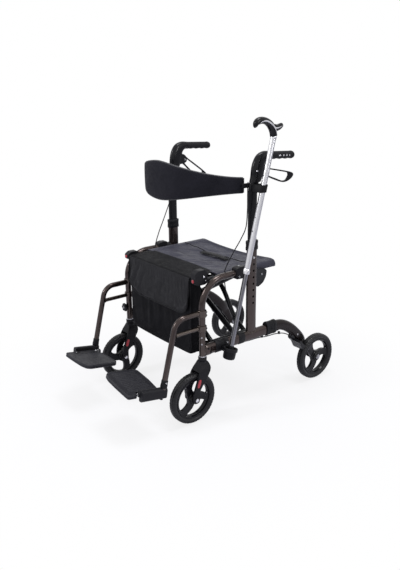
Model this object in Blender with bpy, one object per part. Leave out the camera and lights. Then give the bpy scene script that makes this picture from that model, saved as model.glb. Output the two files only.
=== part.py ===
"""Rollator transport chair: a folding four-wheeled walker with a seat, footrests and a cane holder.

Metres, +Z up. The chair faces -Y, and the occupant's left is +X. In the layout below Y is zero at the
uprights; everything hangs from one empty that moves the origin to the middle of the chair's footprint.
"""
import math

import bmesh
import bpy
from mathutils import Matrix, Vector

# Running and seating clearances
CLEAR = 0.0003
RUNNING = 0.0006

# Side frames
SIDE_X = 0.2526
RAIL_Z = 0.281
RAIL_HIGH = 0.043
TUBE_WIDE = 0.025
FRONT_TUBE_Y = -0.244
FRONT_TUBE_R = 0.0125
FRONT_TUBE_TOP = 0.552
FRONT_TUBE_BEND = 0.100
UPRIGHT_DEEP = 0.046
UPRIGHT_TOP = 0.629
UPRIGHT_WALL = 0.0025
RAIL_END_Y = 0.1197
TUBE_CLAMP_LONG = 0.045
TUBE_CLAMP_HIGH = 0.046
TUBE_CLAMP_BACK = 0.044
PLATE_HALF = 0.003

# Height adjustment
POST_DEEP = 0.040
POST_WIDE = 0.019
POST_FOOT_Z = 0.560
POST_BEND_Z = 0.8618
POST_LEAN = 18.0
POST_BEND_R = 0.090
POST_TOP_Z = 0.906
COLLAR_DEEP = 0.054
COLLAR_WIDE = 0.032
COLLAR_HIGH = 0.036
HOLE_TOP_Z = 0.600
HOLE_PITCH = 0.026
HOLE_COUNT = 8
HOLE_R = 0.0045
BUTTON_R = 0.0038
BUTTON_OUT = 0.0022

# Rear legs and wheels
LEG_DEEP = 0.044
LEG_WIDE = 0.030
LEG_COLLAR_HIGH = 0.059
LEG_COLLAR_WIDE = 0.034
LEG_COLLAR_FRONT = 0.079
AXLE_PLATE_WIDE = 0.014
WHEEL_R = 0.100
TYRE_WIDE = 0.034
TYRE_DEEP = 0.020
RIM_DEEP = 0.009
HUB_R = 0.019
WEB_HALF = 0.006
AXLE_R = 0.0045
AXLE_NUT_LONG = 0.0065
REAR_WHEEL_X = 0.286
REAR_WHEEL_Y = 0.350
WHEEL_SIDES = 24
SPOKES = 3
SPOKE_WIDE = 0.024
SPOKE_SWEEP = 14.0
REAR_SPOKE_TURN = 72.0
FRONT_SPOKE_TURN = 87.0

# Casters
CASTER_X = 0.250
CASTER_TRAIL = 0.048
FORK_TOP_Z = 0.2437
FORK_GAP = 0.0035
FORK_LEG = 0.008
STEM_R = 0.0075
STEM_LONG = 0.050

# Brakes
SHOE_GAP = 0.0030
SHOE_START = (0.2440, 0.2022)
SHOE_SLOPE = 48.0
SHOE_PRESSED = 0.0026
SHOE_PIN_R = 0.0028
SHOE_PIN_BELOW = 0.0062
LEVER_PIVOT = (0.064, 0.917)
LEVER_HALF = 0.0035
LEVER_PARKED = -23.0
CABLE_R = 0.002

# Handles
HOUSING_HALF = 0.0145
HOUSING_FOOT_Z = 0.884
GRIP_R = 0.0142
GRIP_Z = 0.9745
GRIP_DROOP = 3.3
GRIP_START = 0.0780
GRIP_END = 0.201
BACKREST_PIN_Z = 0.871
LINK_FACE = 0.2378

# Scissor brace and seat
PIVOT_X = 0.2215
SEAT_RAIL_Z = 0.540
SEAT_RAIL_R = 0.011
SEAT_RAIL_FRONT = -0.205
SEAT_RAIL_BACK = 0.146
BUTTON_Z = 0.549
CATCH_TOP = {"left": 0.588, "right": 0.568}
LOWER_TUBE_R = 0.010
SLEEVE_WALL = 0.0025
ARM_R = 0.011
BENT_ARM_R = 0.009
ARM_PLANES = {"left": (-0.052, 0.000, -0.170), "right": (-0.028, 0.024, -0.144)}
SEAT_HEM = 0.002
SEAT_HALF = PIVOT_X + SEAT_RAIL_R + SEAT_HEM
SEAT_FRONT = -0.155
SEAT_BACK = 0.143
SEAT_THICK = 0.005
SEAT_SAG = 0.012
SEAT_FLAT_FROM = 0.201
SEAT_BOW = 0.006
STRAP_HALF = 0.082
STRAP_MIDDLE = 0.011

# Bag and backrest
BAG_HALF = 0.205
BAG_FRONT = -0.262
BAG_BACK = -0.206
BAG_FOOT = 0.256
BAG_TOP = 0.552
FLAP_DROP = 0.150
FLAP_THICK = 0.005
BACKREST_HALF = 0.220
BACKREST_REACH = 0.224
BACKREST_START_Y = -0.020
BACKREST_THICK = 0.014
BACKREST_END_HALF = 0.027
BACKREST_MID_HALF = 0.071
BACKREST_RISE = 0.078

# Legrests
HANGER_X = 0.2485
HANGER_R = 0.0107
HANGER_TOP_Z = 0.430
HANGER_CORNER_Y = -0.359
HANGER_BEND = 0.050
HANGER_LEAN = 14.4
STRUT_Z = 0.372
STRUT_R = 0.0078
FOOT_TILT = 10.0
FOOT_HINGE_X = 0.2285
FOOT_HINGE_Y = -0.424
FOOT_HINGE_Z = 0.165
FOOT_LIFT = {"left": 7.8, "right": 1.7}
FOOT_THICK = 0.012
FOOT_BOX_LONG = 0.098
KNUCKLE_R = 0.0080
KNUCKLE_LONG = 0.018
HINGE_PIN_R = 0.0035

# Cane and its holder
CANE_X = 0.298
CANE_FOOT = (-0.1511, 0.2410)
CANE_LEAN = 14.35
CANE_UPPER_R = 0.0105
CANE_LOWER_R = 0.0086
CANE_NUT_Z = 0.342
CANE_TOP = 0.832
FERRULE_R = 0.0115
FERRULE_LONG = 0.048
CUP_R = 0.0243
CUP_LIP_R = 0.0280
CUP_WALL = 0.0022
CUP_LONG = 0.0435
CUP_FLOOR = 0.0036
CUP_SIDES = 16
STRAP_Z = 0.852
STRAP_HIGH = 0.027

# Star knob on the right front tube
KNOB_Z = 0.317
KNOB_R = 0.018
KNOB_THICK = 0.012

# The footprint's middle, which becomes the origin
FOOT_FRONT_Y = FOOT_HINGE_Y - 0.1445 * math.cos(math.radians(FOOT_TILT))
AXLE_END_X = REAR_WHEEL_X + TYRE_WIDE / 2 + RUNNING + AXLE_NUT_LONG
CUP_END_X = CANE_X + CUP_LIP_R * math.cos(math.pi / CUP_SIDES)
ORIGIN_X = (CUP_END_X - AXLE_END_X) / 2
ORIGIN_Y = (FOOT_FRONT_Y + REAR_WHEEL_Y + WHEEL_R) / 2

SIDES = {"left": 1, "right": -1}
UP = Vector((0, 0, 1))
ACROSS = Vector((1, 0, 0))
ALONG = Vector((0, 1, 0))

MATERIALS = {}
FRAME = None


# Materials
def material(name, colour, roughness, metallic=0.0):
    """A plain Principled material, made once for each name."""
    if name not in MATERIALS:
        made = bpy.data.materials.new(name)
        made.use_nodes = True
        shader = made.node_tree.nodes["Principled BSDF"]
        shader.inputs["Base Color"].default_value = (*colour, 1.0)
        shader.inputs["Roughness"].default_value = roughness
        shader.inputs["Metallic"].default_value = metallic
        made.diffuse_color = (*colour, 1.0)
        MATERIALS[name] = made
    return MATERIALS[name]


def frame_paint():
    return material("frame_paint", (0.085, 0.062, 0.050), 0.32, 0.85)


def black_paint():
    return material("black_paint", (0.020, 0.020, 0.022), 0.35, 0.30)


def black_plastic():
    return material("black_plastic", (0.022, 0.022, 0.025), 0.50)


def rubber():
    return material("rubber", (0.018, 0.018, 0.020), 0.70)


def steel():
    return material("steel", (0.62, 0.62, 0.64), 0.25, 1.0)


def chrome():
    return material("chrome", (0.80, 0.80, 0.82), 0.12, 1.0)


def red_plastic():
    return material("red_plastic", (0.60, 0.02, 0.05), 0.40)


def seat_cloth():
    return material("seat_cloth", (0.110, 0.115, 0.150), 0.85)


def bag_cloth():
    return material("bag_cloth", (0.045, 0.045, 0.050), 0.90)


def pad_cloth():
    return material("pad_cloth", (0.028, 0.028, 0.036), 0.80)


# Shapes
def oval(half_u, half_v, sides, power=2.4):
    """A rounded oval outline in (u, v), flat-sided enough to pass for drawn oval tube."""
    points = []
    for i in range(sides):
        angle = 2 * math.pi * (i + 0.5) / sides
        c, s = math.cos(angle), math.sin(angle)
        u = half_u * math.copysign(abs(c) ** (2 / power), c)
        v = half_v * math.copysign(abs(s) ** (2 / power), s)
        points.append((u, v))
    return points


def rounded_path(points, radius, steps=5):
    """The polyline with each inner corner turned into an arc of the given radius."""
    points = [Vector(p) for p in points]
    path = [points[0]]
    for before, corner, after in zip(points, points[1:], points[2:]):
        a, b = (before - corner).normalized(), (after - corner).normalized()
        half = a.angle(b) / 2
        reach = radius / math.tan(half)
        centre = corner + (a + b).normalized() * (radius / math.sin(half))
        start, end = corner + a * reach - centre, corner + b * reach - centre
        for i in range(steps + 1):
            path.append(centre + start.slerp(end, i / steps) * radius)
    path.append(points[-1])
    return path


def rings_mesh(rings, looped=False):
    """A closed mesh through rings of equal length: capped at both ends, or looped into a tunnel."""
    mesh = bmesh.new()
    loops = [[mesh.verts.new(p) for p in ring] for ring in rings]
    pairs = list(zip(loops, loops[1:]))
    if looped:
        pairs.append((loops[-1], loops[0]))
    for a, b in pairs:
        count = len(a)
        for i in range(count):
            j = (i + 1) % count
            mesh.faces.new((a[i], a[j], b[j], b[i]))
    if not looped:
        mesh.faces.new(loops[0])
        mesh.faces.new(loops[-1])
    bmesh.ops.recalc_face_normals(mesh, faces=mesh.faces)
    return mesh


def sweep_rings(path, side, outlines):
    """One ring for each path point. Each outline's u runs along the side axis."""
    rings = []
    for i, point in enumerate(path):
        ahead = path[min(i + 1, len(path) - 1)] - path[max(i - 1, 0)]
        across = side.normalized()
        normal = ahead.normalized().cross(across).normalized()
        outline = outlines[i] if isinstance(outlines[0][0], tuple) else outlines
        rings.append([point + across * u + normal * v for u, v in outline])
    return rings


def tube(path, side, outlines):
    return rings_mesh(sweep_rings([Vector(p) for p in path], side, outlines))


def round_outline(radius, sides=12):
    return oval(radius, radius, sides, 2.0)


def turned_rings(centre, axis, profile, sides, phase=0.5):
    """Rings of a turned shape. The profile's pairs are radius and height along the axis."""
    axis = axis.normalized()
    u = ACROSS if abs(axis.x) < 0.9 else UP
    u = (u - axis * u.dot(axis)).normalized()
    v = axis.cross(u)
    rings = []
    for radius, height in profile:
        ring = []
        for i in range(sides):
            angle = 2 * math.pi * (i + phase) / sides
            ring.append(centre + axis * height + (u * math.cos(angle) + v * math.sin(angle)) * radius)
        rings.append(ring)
    return rings


def turned(centre, axis, profile, sides=12, looped=False):
    return rings_mesh(turned_rings(Vector(centre), Vector(axis), profile, sides), looped)


def cylinder(start, end, radius, sides=12):
    start, end = Vector(start), Vector(end)
    return turned(start, end - start, [(radius, 0), (radius, (end - start).length)], sides)


def prism(outline, low, high):
    """An outline of (y, z) points carried along X."""
    return rings_mesh([[Vector((x, y, z)) for y, z in outline] for x in (low, high)])


def block(low, high):
    """A box between two corners."""
    outline = [(low[1], low[2]), (high[1], low[2]), (high[1], high[2]), (low[1], high[2])]
    return prism(outline, low[0], high[0])


def chamfer(mesh, width, segments=1):
    """Softens the sharper edges of a mesh by the given width."""
    edges = [e for e in mesh.edges if e.is_convex and e.calc_face_angle(0) > math.radians(40)]
    bmesh.ops.bevel(mesh, geom=edges, offset=width, segments=segments, profile=0.6,
                    affect="EDGES", clamp_overlap=True)
    return mesh


# Objects
def place(mesh, name, finish, pivot=(0, 0, 0)):
    """Makes the object of a mesh given in layout space, with its origin on the pivot."""
    pivot = Vector(pivot)
    bmesh.ops.translate(mesh, verts=mesh.verts, vec=-pivot)
    bmesh.ops.recalc_face_normals(mesh, faces=mesh.faces)
    data = bpy.data.meshes.new(name)
    mesh.to_mesh(data)
    mesh.free()
    data.materials.append(finish)
    data.shade_smooth()
    data.set_sharp_from_angle(angle=math.radians(35))
    made = bpy.data.objects.new(name, data)
    made.location = pivot
    made.parent = FRAME
    bpy.context.scene.collection.objects.link(made)
    return made


def helper(mesh, name):
    """A hidden shape that only joins or cuts another."""
    made = place(mesh, name, steel())
    made.hide_render = True
    made.display_type = "WIRE"
    return made


def combine(target, operation, meshes):
    """Joins or cuts hidden shapes with Boolean modifiers, in the order given."""
    for mesh in meshes:
        index = len(target.modifiers)
        step = target.modifiers.new(f"{operation.lower()}_{index}", "BOOLEAN")
        step.operation = operation
        step.solver = "EXACT"
        step.object = helper(mesh, f"{target.name}_tool_{index}")
    return target


def mirrored(side, point):
    """A point given for the left side, on the given side."""
    return Vector((SIDES[side] * point[0], point[1], point[2]))


def span(side, low, high):
    """Two X values given for the left side, on the given side."""
    return SIDES[side] * low, SIDES[side] * high


# Side frames
def base_rail(side):
    """Oval rail from the front tube into the rear leg, with the brace's lower pivot tube welded on."""
    start_y = FRONT_TUBE_Y + FRONT_TUBE_R + CLEAR
    path = [mirrored(side, (SIDE_X, y, RAIL_Z)) for y in (start_y, RAIL_END_Y)]
    outline = oval(TUBE_WIDE / 2, RAIL_HIGH / 2, 16)
    rail = place(tube(path, ACROSS, outline), f"base_rail_{side}", frame_paint())
    front, back = lower_sleeve_ends()
    lug = 0.012
    ends = [(front - RUNNING - lug, front - RUNNING), (back + RUNNING, back + RUNNING + lug)]
    low_x = PIVOT_X - LOWER_TUBE_R - 0.003
    high_x = SIDE_X - TUBE_WIDE / 2 + 0.004
    lugs = []
    for low_y, high_y in ends:
        a, b = span(side, low_x, high_x)
        lugs.append(block((a, low_y, RAIL_Z - 0.013), (b, high_y, RAIL_Z + 0.013)))
    pivot = cylinder(mirrored(side, (PIVOT_X, ends[0][0] + lug / 2, RAIL_Z)),
                     mirrored(side, (PIVOT_X, ends[1][1] - lug / 2, RAIL_Z)), LOWER_TUBE_R)
    combine(rail, "UNION", lugs + [pivot])


def upright(side):
    """Oval outer tube with a row of height holes in its outer face and a plate behind it."""
    foot_z = RAIL_Z + RAIL_HIGH / 2 + CLEAR
    floor_z = foot_z + 0.020
    outer = oval(TUBE_WIDE / 2, UPRIGHT_DEEP / 2, 16)
    inner = oval(TUBE_WIDE / 2 - UPRIGHT_WALL, UPRIGHT_DEEP / 2 - UPRIGHT_WALL, 16)
    rings = []
    for outline, z in ((inner, floor_z), (inner, UPRIGHT_TOP), (outer, UPRIGHT_TOP), (outer, foot_z)):
        rings.append([mirrored(side, (SIDE_X + u, v, z)) for u, v in outline])
    post = place(rings_mesh(rings), f"upright_{side}", frame_paint())
    back = UPRIGHT_DEEP / 2
    plate = [(back - 0.001, 0.478), (0.031, 0.474), (0.055, 0.486), (0.072, 0.508), (0.078, 0.532),
             (0.066, 0.543), (back - 0.001, 0.546)]
    low, high = span(side, SIDE_X - PLATE_HALF, SIDE_X + PLATE_HALF)
    combine(post, "UNION", [prism(plate, low, high)])
    face = SIDE_X + TUBE_WIDE / 2
    for i in range(HOLE_COUNT):
        z = HOLE_TOP_Z - i * HOLE_PITCH
        start, end = mirrored(side, (face - 0.005, 0, z)), mirrored(side, (face + 0.004, 0, z))
        combine(post, "DIFFERENCE", [cylinder(start, end, HOLE_R, 8)])


def front_tube(side):
    """Round tube from the caster up and back to the upright, with the clamp that holds its end."""
    foot = mirrored(side, (SIDE_X, FRONT_TUBE_Y, FORK_TOP_Z + CLEAR))
    corner = mirrored(side, (SIDE_X, FRONT_TUBE_Y, FRONT_TUBE_TOP))
    end = mirrored(side, (SIDE_X, -UPRIGHT_DEEP / 2 - CLEAR, FRONT_TUBE_TOP))
    path = rounded_path([foot, corner, end], FRONT_TUBE_BEND, 7)
    made = place(tube(path, ACROSS, round_outline(FRONT_TUBE_R)), f"front_tube_{side}", frame_paint())
    half = FRONT_TUBE_R + 0.0035
    low, high = span(side, SIDE_X - FRONT_TUBE_R - 0.001, SIDE_X + half)
    back = -TUBE_CLAMP_BACK
    clamp = block((low, back - TUBE_CLAMP_LONG, FRONT_TUBE_TOP - TUBE_CLAMP_HIGH / 2),
                  (high, back, FRONT_TUBE_TOP + TUBE_CLAMP_HIGH / 2))
    combine(made, "UNION", [chamfer(clamp, 0.004)])
    stem_x = CASTER_X
    socket = cylinder(mirrored(side, (stem_x, FRONT_TUBE_Y, FORK_TOP_Z - 0.01)),
                      mirrored(side, (stem_x, FRONT_TUBE_Y, FORK_TOP_Z + STEM_LONG + 0.004)),
                      STEM_R + RUNNING)
    combine(made, "DIFFERENCE", [socket])


def leg_stations():
    """Centre (y, z), half width and half depth along the rear leg, from its collar to the axle."""
    wide, deep = LEG_WIDE / 2, LEG_DEEP / 2
    thin = AXLE_PLATE_WIDE / 2
    return [
        (0.137, 0.2835, wide, deep + 0.002), (0.158, 0.2830, wide, deep), (0.180, 0.2765, wide, deep),
        (0.205, 0.2640, wide, deep), (0.230, 0.2460, wide, deep), (0.252, 0.2265, wide, deep),
        (0.276, 0.2020, wide, deep), (0.294, 0.1800, 0.011, 0.021), (0.306, 0.1620, thin, 0.018),
        (0.330, 0.1260, thin, 0.016), (REAR_WHEEL_Y, WHEEL_R, thin, 0.0155),
        (REAR_WHEEL_Y + 0.010, WHEEL_R - 0.0145, thin, 0.008),
    ]


def rear_leg(side):
    """Curved leg with the collar that takes the rail's end, thinning to the plate that holds the axle."""
    sides = 14
    collar = oval(LEG_COLLAR_WIDE / 2, LEG_COLLAR_HIGH / 2, sides)
    pocket = oval(TUBE_WIDE / 2 + CLEAR + 0.0004, RAIL_HIGH / 2 + CLEAR + 0.0004, sides)
    collar_z = 0.2845
    rings = []
    for y, outline, z in ((RAIL_END_Y + 0.001, pocket, RAIL_Z), (LEG_COLLAR_FRONT, pocket, RAIL_Z),
                          (LEG_COLLAR_FRONT, collar, collar_z), (0.131, collar, collar_z)):
        rings.append([mirrored(side, (SIDE_X + u, y, z + v)) for u, v in outline])
    stations = leg_stations()
    path = [Vector((0, y, z)) for y, z, _, _ in stations]
    for i, (y, z, wide, deep) in enumerate(stations):
        ahead = (path[min(i + 1, len(path) - 1)] - path[max(i - 1, 0)]).normalized()
        normal = Vector((0, -ahead.z, ahead.y))
        ring = []
        for u, v in oval(wide, deep, sides):
            spot = path[i] + normal * v
            ring.append(mirrored(side, (SIDE_X + u, spot.y, spot.z)))
        rings.append(ring)
    leg = place(rings_mesh(rings), f"rear_leg_{side}", black_plastic())
    combine(leg, "UNION", shoe_guide(side))
    bore = cylinder(mirrored(side, (SIDE_X - 0.02, REAR_WHEEL_Y, WHEEL_R)),
                    mirrored(side, (SIDE_X + 0.02, REAR_WHEEL_Y, WHEEL_R)), AXLE_R + CLEAR)
    combine(leg, "DIFFERENCE", [bore])


def rear_axle(side):
    """Stub axle with a head inside the leg's plate and a nut outside the wheel."""
    plate = AXLE_PLATE_WIDE / 2
    start = SIDE_X - plate - CLEAR
    face = SIDE_X + plate + CLEAR
    hub_in = REAR_WHEEL_X - TYRE_WIDE / 2 - RUNNING
    hub_out = REAR_WHEEL_X + TYRE_WIDE / 2 + RUNNING
    profile = [(0.0085, start - 0.006), (0.0085, start), (AXLE_R - CLEAR, start),
               (AXLE_R - CLEAR, face), (0.0080, face), (0.0080, hub_in), (AXLE_R - CLEAR, hub_in),
               (AXLE_R - CLEAR, hub_out), (0.0080, hub_out), (0.0080, hub_out + AXLE_NUT_LONG)]
    centre = Vector((0, REAR_WHEEL_Y, WHEEL_R))
    axis = ACROSS * SIDES[side]
    place(turned(centre, axis, profile), f"rear_axle_{side}", steel())


# Wheels
def wheel_radius(radius):
    """The corner radius that keeps a many-sided ring's flats at the given radius."""
    return radius / math.cos(math.pi / WHEEL_SIDES)


def tyre(name, centre):
    half = TYRE_WIDE / 2
    seat = WHEEL_R - TYRE_DEEP
    section = [(seat, -0.012), (WHEEL_R - 0.010, -half), (WHEEL_R - 0.0035, -half + 0.0025),
               (WHEEL_R, -half + 0.009), (WHEEL_R, half - 0.009), (WHEEL_R - 0.0035, half - 0.0025),
               (WHEEL_R - 0.010, half), (seat, 0.012)]
    profile = [(wheel_radius(r), h) for r, h in section]
    place(turned(centre, ACROSS, profile, WHEEL_SIDES, True), name, rubber(), centre)


def spoke_window(centre, turn, sign):
    """One teardrop window between two swept spokes, as a cutter through the web."""
    outer = WHEEL_R - TYRE_DEEP - RIM_DEEP
    inner = HUB_R + 0.008
    gap = 2 * math.pi / SPOKES
    edges = []
    for radius in (inner, (inner + outer) * 0.5, outer - 0.004):
        margin = SPOKE_WIDE / 2 / radius
        sweep = math.radians(SPOKE_SWEEP) * (radius - inner) / (outer - inner)
        edges.append((radius, turn + margin + sweep, turn + gap - margin + sweep))
    top_margin = (SPOKE_WIDE / 2 + 0.006) / outer
    sweep = math.radians(SPOKE_SWEEP)
    low, high = turn + top_margin + sweep, turn + gap - top_margin + sweep
    outline = [(r, a) for r, a, _ in edges]
    outline += [(outer, low + (high - low) * i / 3) for i in range(4)]
    outline += [(r, b) for r, _, b in reversed(edges)]
    rings = []
    for x in (-0.012, 0.012):
        rings.append([centre + Vector((x, sign * r * math.sin(a), r * math.cos(a))) for r, a in outline])
    return rings_mesh(rings)


def rim(name, centre, sign, turn):
    """Rim, thin web and hub in one turned piece, its web cut into three swept spokes."""
    half = TYRE_WIDE / 2
    seat = wheel_radius(WHEEL_R - TYRE_DEEP) - CLEAR
    well = wheel_radius(WHEEL_R - TYRE_DEEP - RIM_DEEP)
    bore = AXLE_R + RUNNING
    profile = [(bore, -half), (bore, half), (HUB_R, half), (HUB_R, WEB_HALF), (well, WEB_HALF),
               (seat, 0.012), (seat, -0.012), (well, -WEB_HALF), (HUB_R, -WEB_HALF), (HUB_R, -half)]
    made = place(turned(centre, ACROSS, profile, WHEEL_SIDES, True), name, black_plastic(), centre)
    first = math.radians(turn)
    windows = [spoke_window(centre, first + 2 * math.pi * i / SPOKES, sign) for i in range(SPOKES)]
    combine(made, "DIFFERENCE", windows)


def caster_fork(side):
    """Crown, two legs and axle, with the stem that turns in the front tube."""
    axle_y = FRONT_TUBE_Y - CASTER_TRAIL
    half = TYRE_WIDE / 2 + FORK_GAP + FORK_LEG
    y = FRONT_TUBE_Y
    outline = [(y + 0.0175, FORK_TOP_Z), (y + 0.0215, 0.231), (y + 0.0165, 0.211), (y + 0.007, 0.190),
               (y - 0.006, 0.168), (y - 0.0305, 0.135), (axle_y + 0.014, 0.108),
               (axle_y + 0.0135, 0.094), (axle_y + 0.006, 0.0865), (axle_y - 0.006, 0.0865),
               (axle_y - 0.0135, 0.094), (axle_y - 0.0145, 0.106), (y - 0.059, 0.128),
               (y - 0.049, 0.160), (y - 0.037, 0.190), (y - 0.022, 0.225), (y - 0.015, FORK_TOP_Z)]
    low, high = span(side, CASTER_X - half, CASTER_X + half)
    centre = mirrored(side, (CASTER_X, y, 0))
    fork = place(chamfer(prism(outline, low, high), 0.003), f"caster_fork_{side}", black_plastic(),
                 (centre.x, centre.y, FORK_TOP_Z))
    gap = TYRE_WIDE / 2 + FORK_GAP
    axle = mirrored(side, (CASTER_X, axle_y, WHEEL_R))
    space = turned(axle, ACROSS, [(wheel_radius(WHEEL_R) + 0.005, -gap), (wheel_radius(WHEEL_R) + 0.005, gap)],
                   WHEEL_SIDES)
    combine(fork, "DIFFERENCE", [space])
    shoulder = rings_mesh([[Vector((centre.x + u, v, z)) for u, z in (
        (-half - 0.002, 0.070), (half + 0.002, 0.070), (half + 0.002, 0.205), (0.020, FORK_TOP_Z + 0.002),
        (-0.020, FORK_TOP_Z + 0.002), (-half - 0.002, 0.205))] for v in (axle_y - 0.05, y + 0.05)])
    combine(fork, "INTERSECT", [shoulder])
    head = half + 0.004
    pin = [(0.0085, -head), (0.0085, -gap - 0.002), (AXLE_R - CLEAR, -gap - 0.002),
           (AXLE_R - CLEAR, gap + 0.002), (0.0085, gap + 0.002), (0.0085, head)]
    stem = cylinder((centre.x, y, FORK_TOP_Z - 0.006), (centre.x, y, FORK_TOP_Z + STEM_LONG), STEM_R)
    combine(fork, "UNION", [turned(axle, ACROSS, pin), stem])


# Brakes
def shoe_point(side, x, ahead, below):
    """A point of the brake, from the guide's start: along the leg's underside and square below it."""
    angle = math.radians(SHOE_SLOPE)
    y, z = SHOE_START
    return mirrored(side, (x, y + ahead * math.cos(angle) - below * math.sin(angle),
                           z - ahead * math.sin(angle) - below * math.cos(angle)))


def shoe_prism(side, low_x, high_x, outline):
    return rings_mesh([[shoe_point(side, x, a, b) for a, b in outline] for x in (low_x, high_x)])


def shoe_guide(side):
    """Lug under the rear leg with the pin that the brake shoe slides on."""
    lug = shoe_prism(side, SIDE_X - 0.008, SIDE_X + 0.008,
                     [(-0.0125, -0.008), (-0.0006, -0.008), (-0.0006, 0.0110), (-0.0100, 0.0110), (-0.0125, 0.007)])
    pin = cylinder(shoe_point(side, SIDE_X, -0.004, SHOE_PIN_BELOW), shoe_point(side, SIDE_X, 0.018, SHOE_PIN_BELOW),
                   SHOE_PIN_R, 8)
    return [lug, pin]


def brake_shoe(side):
    """Block that slides along the leg's underside until its curved pad meets the tyre."""
    hub = Vector((REAR_WHEEL_Y, WHEEL_R))
    face = wheel_radius(WHEEL_R) + SHOE_GAP
    low, high = SIDE_X - 0.008, REAR_WHEEL_X + 0.014
    rings = []
    for x in (low, high):
        ring = [shoe_point(side, x, a, b) for a, b in ((0, 0), (0.0155, 0.0), (0.0400, 0.0002))]
        for angle in map(math.radians, (139.5, 144.0, 148.5)):
            ring.append(mirrored(side, (x, hub.x + face * math.cos(angle), hub.y + face * math.sin(angle))))
        ring += [shoe_point(side, x, a, b) for a, b in ((0.0370, 0.0190), (0.0120, 0.0125), (0, 0.0115))]
        rings.append(ring)
    pivot = shoe_point(side, SIDE_X, 0, SHOE_PIN_BELOW)
    shape = rings_mesh(rings)
    if side == "right":
        press = shoe_point(side, 0, SHOE_PRESSED, 0) - shoe_point(side, 0, 0, 0)
        bmesh.ops.translate(shape, verts=shape.verts, vec=press)
    shoe = place(shape, f"brake_shoe_{side}", black_paint(), pivot)
    bore = cylinder(shoe_point(side, SIDE_X, -0.01, SHOE_PIN_BELOW),
                    shoe_point(side, SIDE_X, 0.019 + SHOE_PRESSED, SHOE_PIN_BELOW), SHOE_PIN_R + RUNNING, 8)
    combine(shoe, "DIFFERENCE", [bore])


def cable_route(side):
    """The brake cable's own points for the left side: down the post, past the rail and to the shoe."""
    post = SIDE_X - POST_WIDE / 2 - CABLE_R - CLEAR
    if side == "left":
        bow = [(0.2400, -0.020, 0.716), (0.2392, -0.046, 0.672), (0.2385, -0.074, 0.637),
               (0.2372, -0.108, 0.589), (0.2370, -0.124, 0.558), (0.2370, -0.122, 0.520)]
    else:
        bow = [(0.2400, -0.030, 0.735), (0.2392, -0.063, 0.668), (0.2385, -0.082, 0.632),
               (0.2372, -0.102, 0.588), (0.2370, -0.110, 0.560), (0.2370, -0.112, 0.520)]
    top = [(post, -0.012, HOUSING_FOOT_Z - CLEAR), (post, -0.014, 0.862), (post, -0.014, 0.830),
           (post, -0.014, 0.780)]
    foot = [(0.2374, -0.108, 0.450), (0.2378, -0.084, 0.380), (0.2378, -0.064, 0.320),
            (0.2378, -0.052, 0.281), (0.2384, -0.044, 0.264), (0.2410, -0.030, 0.2555),
            (0.2480, -0.005, 0.2550), (0.2526, 0.040, 0.2560), (0.2526, 0.085, 0.2500),
            (0.2526, 0.138, 0.2470), (0.2526, 0.182, 0.2385), (0.2526, 0.214, 0.2235)]
    for ahead in (-0.0185, -0.0125 - 2 * CLEAR):
        foot.append((SIDE_X, *shoe_point("left", 0, ahead, 0.0030).yz))
    return [mirrored(side, p) for p in top + bow + foot]


def smooth_through(points, step):
    """Points of a smooth curve through the route's own points, about one step apart."""
    ends = [points[0] * 2 - points[1]] + points + [points[-1] * 2 - points[-2]]
    out = []
    for i in range(1, len(ends) - 2):
        a, b, c, d = ends[i - 1:i + 3]
        count = max(1, round((c - b).length / step))
        for k in range(count):
            t = k / count
            out.append(0.5 * (2 * b + (c - a) * t + (2 * a - 5 * b + 4 * c - d) * t * t
                              + (3 * b - a - 3 * c + d) * t * t * t))
    out.append(points[-1])
    return out


def brake_cable(side):
    """One cable along its real route, held by the handle, the frame and the leg."""
    curve = bpy.data.curves.new(f"brake_cable_{side}", "CURVE")
    curve.dimensions = "3D"
    curve.bevel_depth = CABLE_R
    curve.bevel_resolution = 1
    curve.use_fill_caps = True
    points = smooth_through(cable_route(side), 0.028)
    spline = curve.splines.new("POLY")
    spline.points.add(len(points) - 1)
    for spot, point in zip(spline.points, points):
        spot.co = (*point, 1.0)
    curve.materials.append(rubber())
    made = bpy.data.objects.new(f"brake_cable_{side}", curve)
    made.parent = FRAME
    bpy.context.scene.collection.objects.link(made)


def brake_lever(side):
    """Closed loop lever under the grip, hanging lower where the brake is parked."""
    outer = [(0.057, 0.932), (0.090, 0.9265), (0.128, 0.9190), (0.174, 0.9090), (0.200, 0.9015),
             (0.209, 0.893), (0.202, 0.882), (0.187, 0.8735), (0.168, 0.8685), (0.145, 0.8700),
             (0.110, 0.882), (0.0817, 0.893), (0.057, 0.903)]
    inner = [(0.070, 0.924), (0.092, 0.9210), (0.128, 0.9135), (0.174, 0.9035), (0.180, 0.900),
             (0.182, 0.894), (0.179, 0.8865), (0.174, 0.8800), (0.166, 0.8750), (0.146, 0.8755),
             (0.112, 0.888), (0.0835, 0.8985), (0.070, 0.907)]
    low, high = span(side, SIDE_X - LEVER_HALF, SIDE_X + LEVER_HALF)
    rings = []
    for outline, x in ((outer, low), (outer, high), (inner, high), (inner, low)):
        rings.append([Vector((x, y, z)) for y, z in outline])
    shape = rings_mesh(rings, True)
    pivot = mirrored(side, (SIDE_X, *LEVER_PIVOT))
    if side == "right":
        park = Matrix.Rotation(math.radians(LEVER_PARKED), 4, "X")
        bmesh.ops.transform(shape, matrix=park, space=Matrix.Translation(-pivot), verts=shape.verts)
    lever = place(shape, f"brake_lever_{side}", black_plastic(), pivot)
    combine(lever, "DIFFERENCE", [cylinder(pivot - ACROSS * 0.01, pivot + ACROSS * 0.01,
                                           HINGE_PIN_R + RUNNING, 10)])


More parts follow.
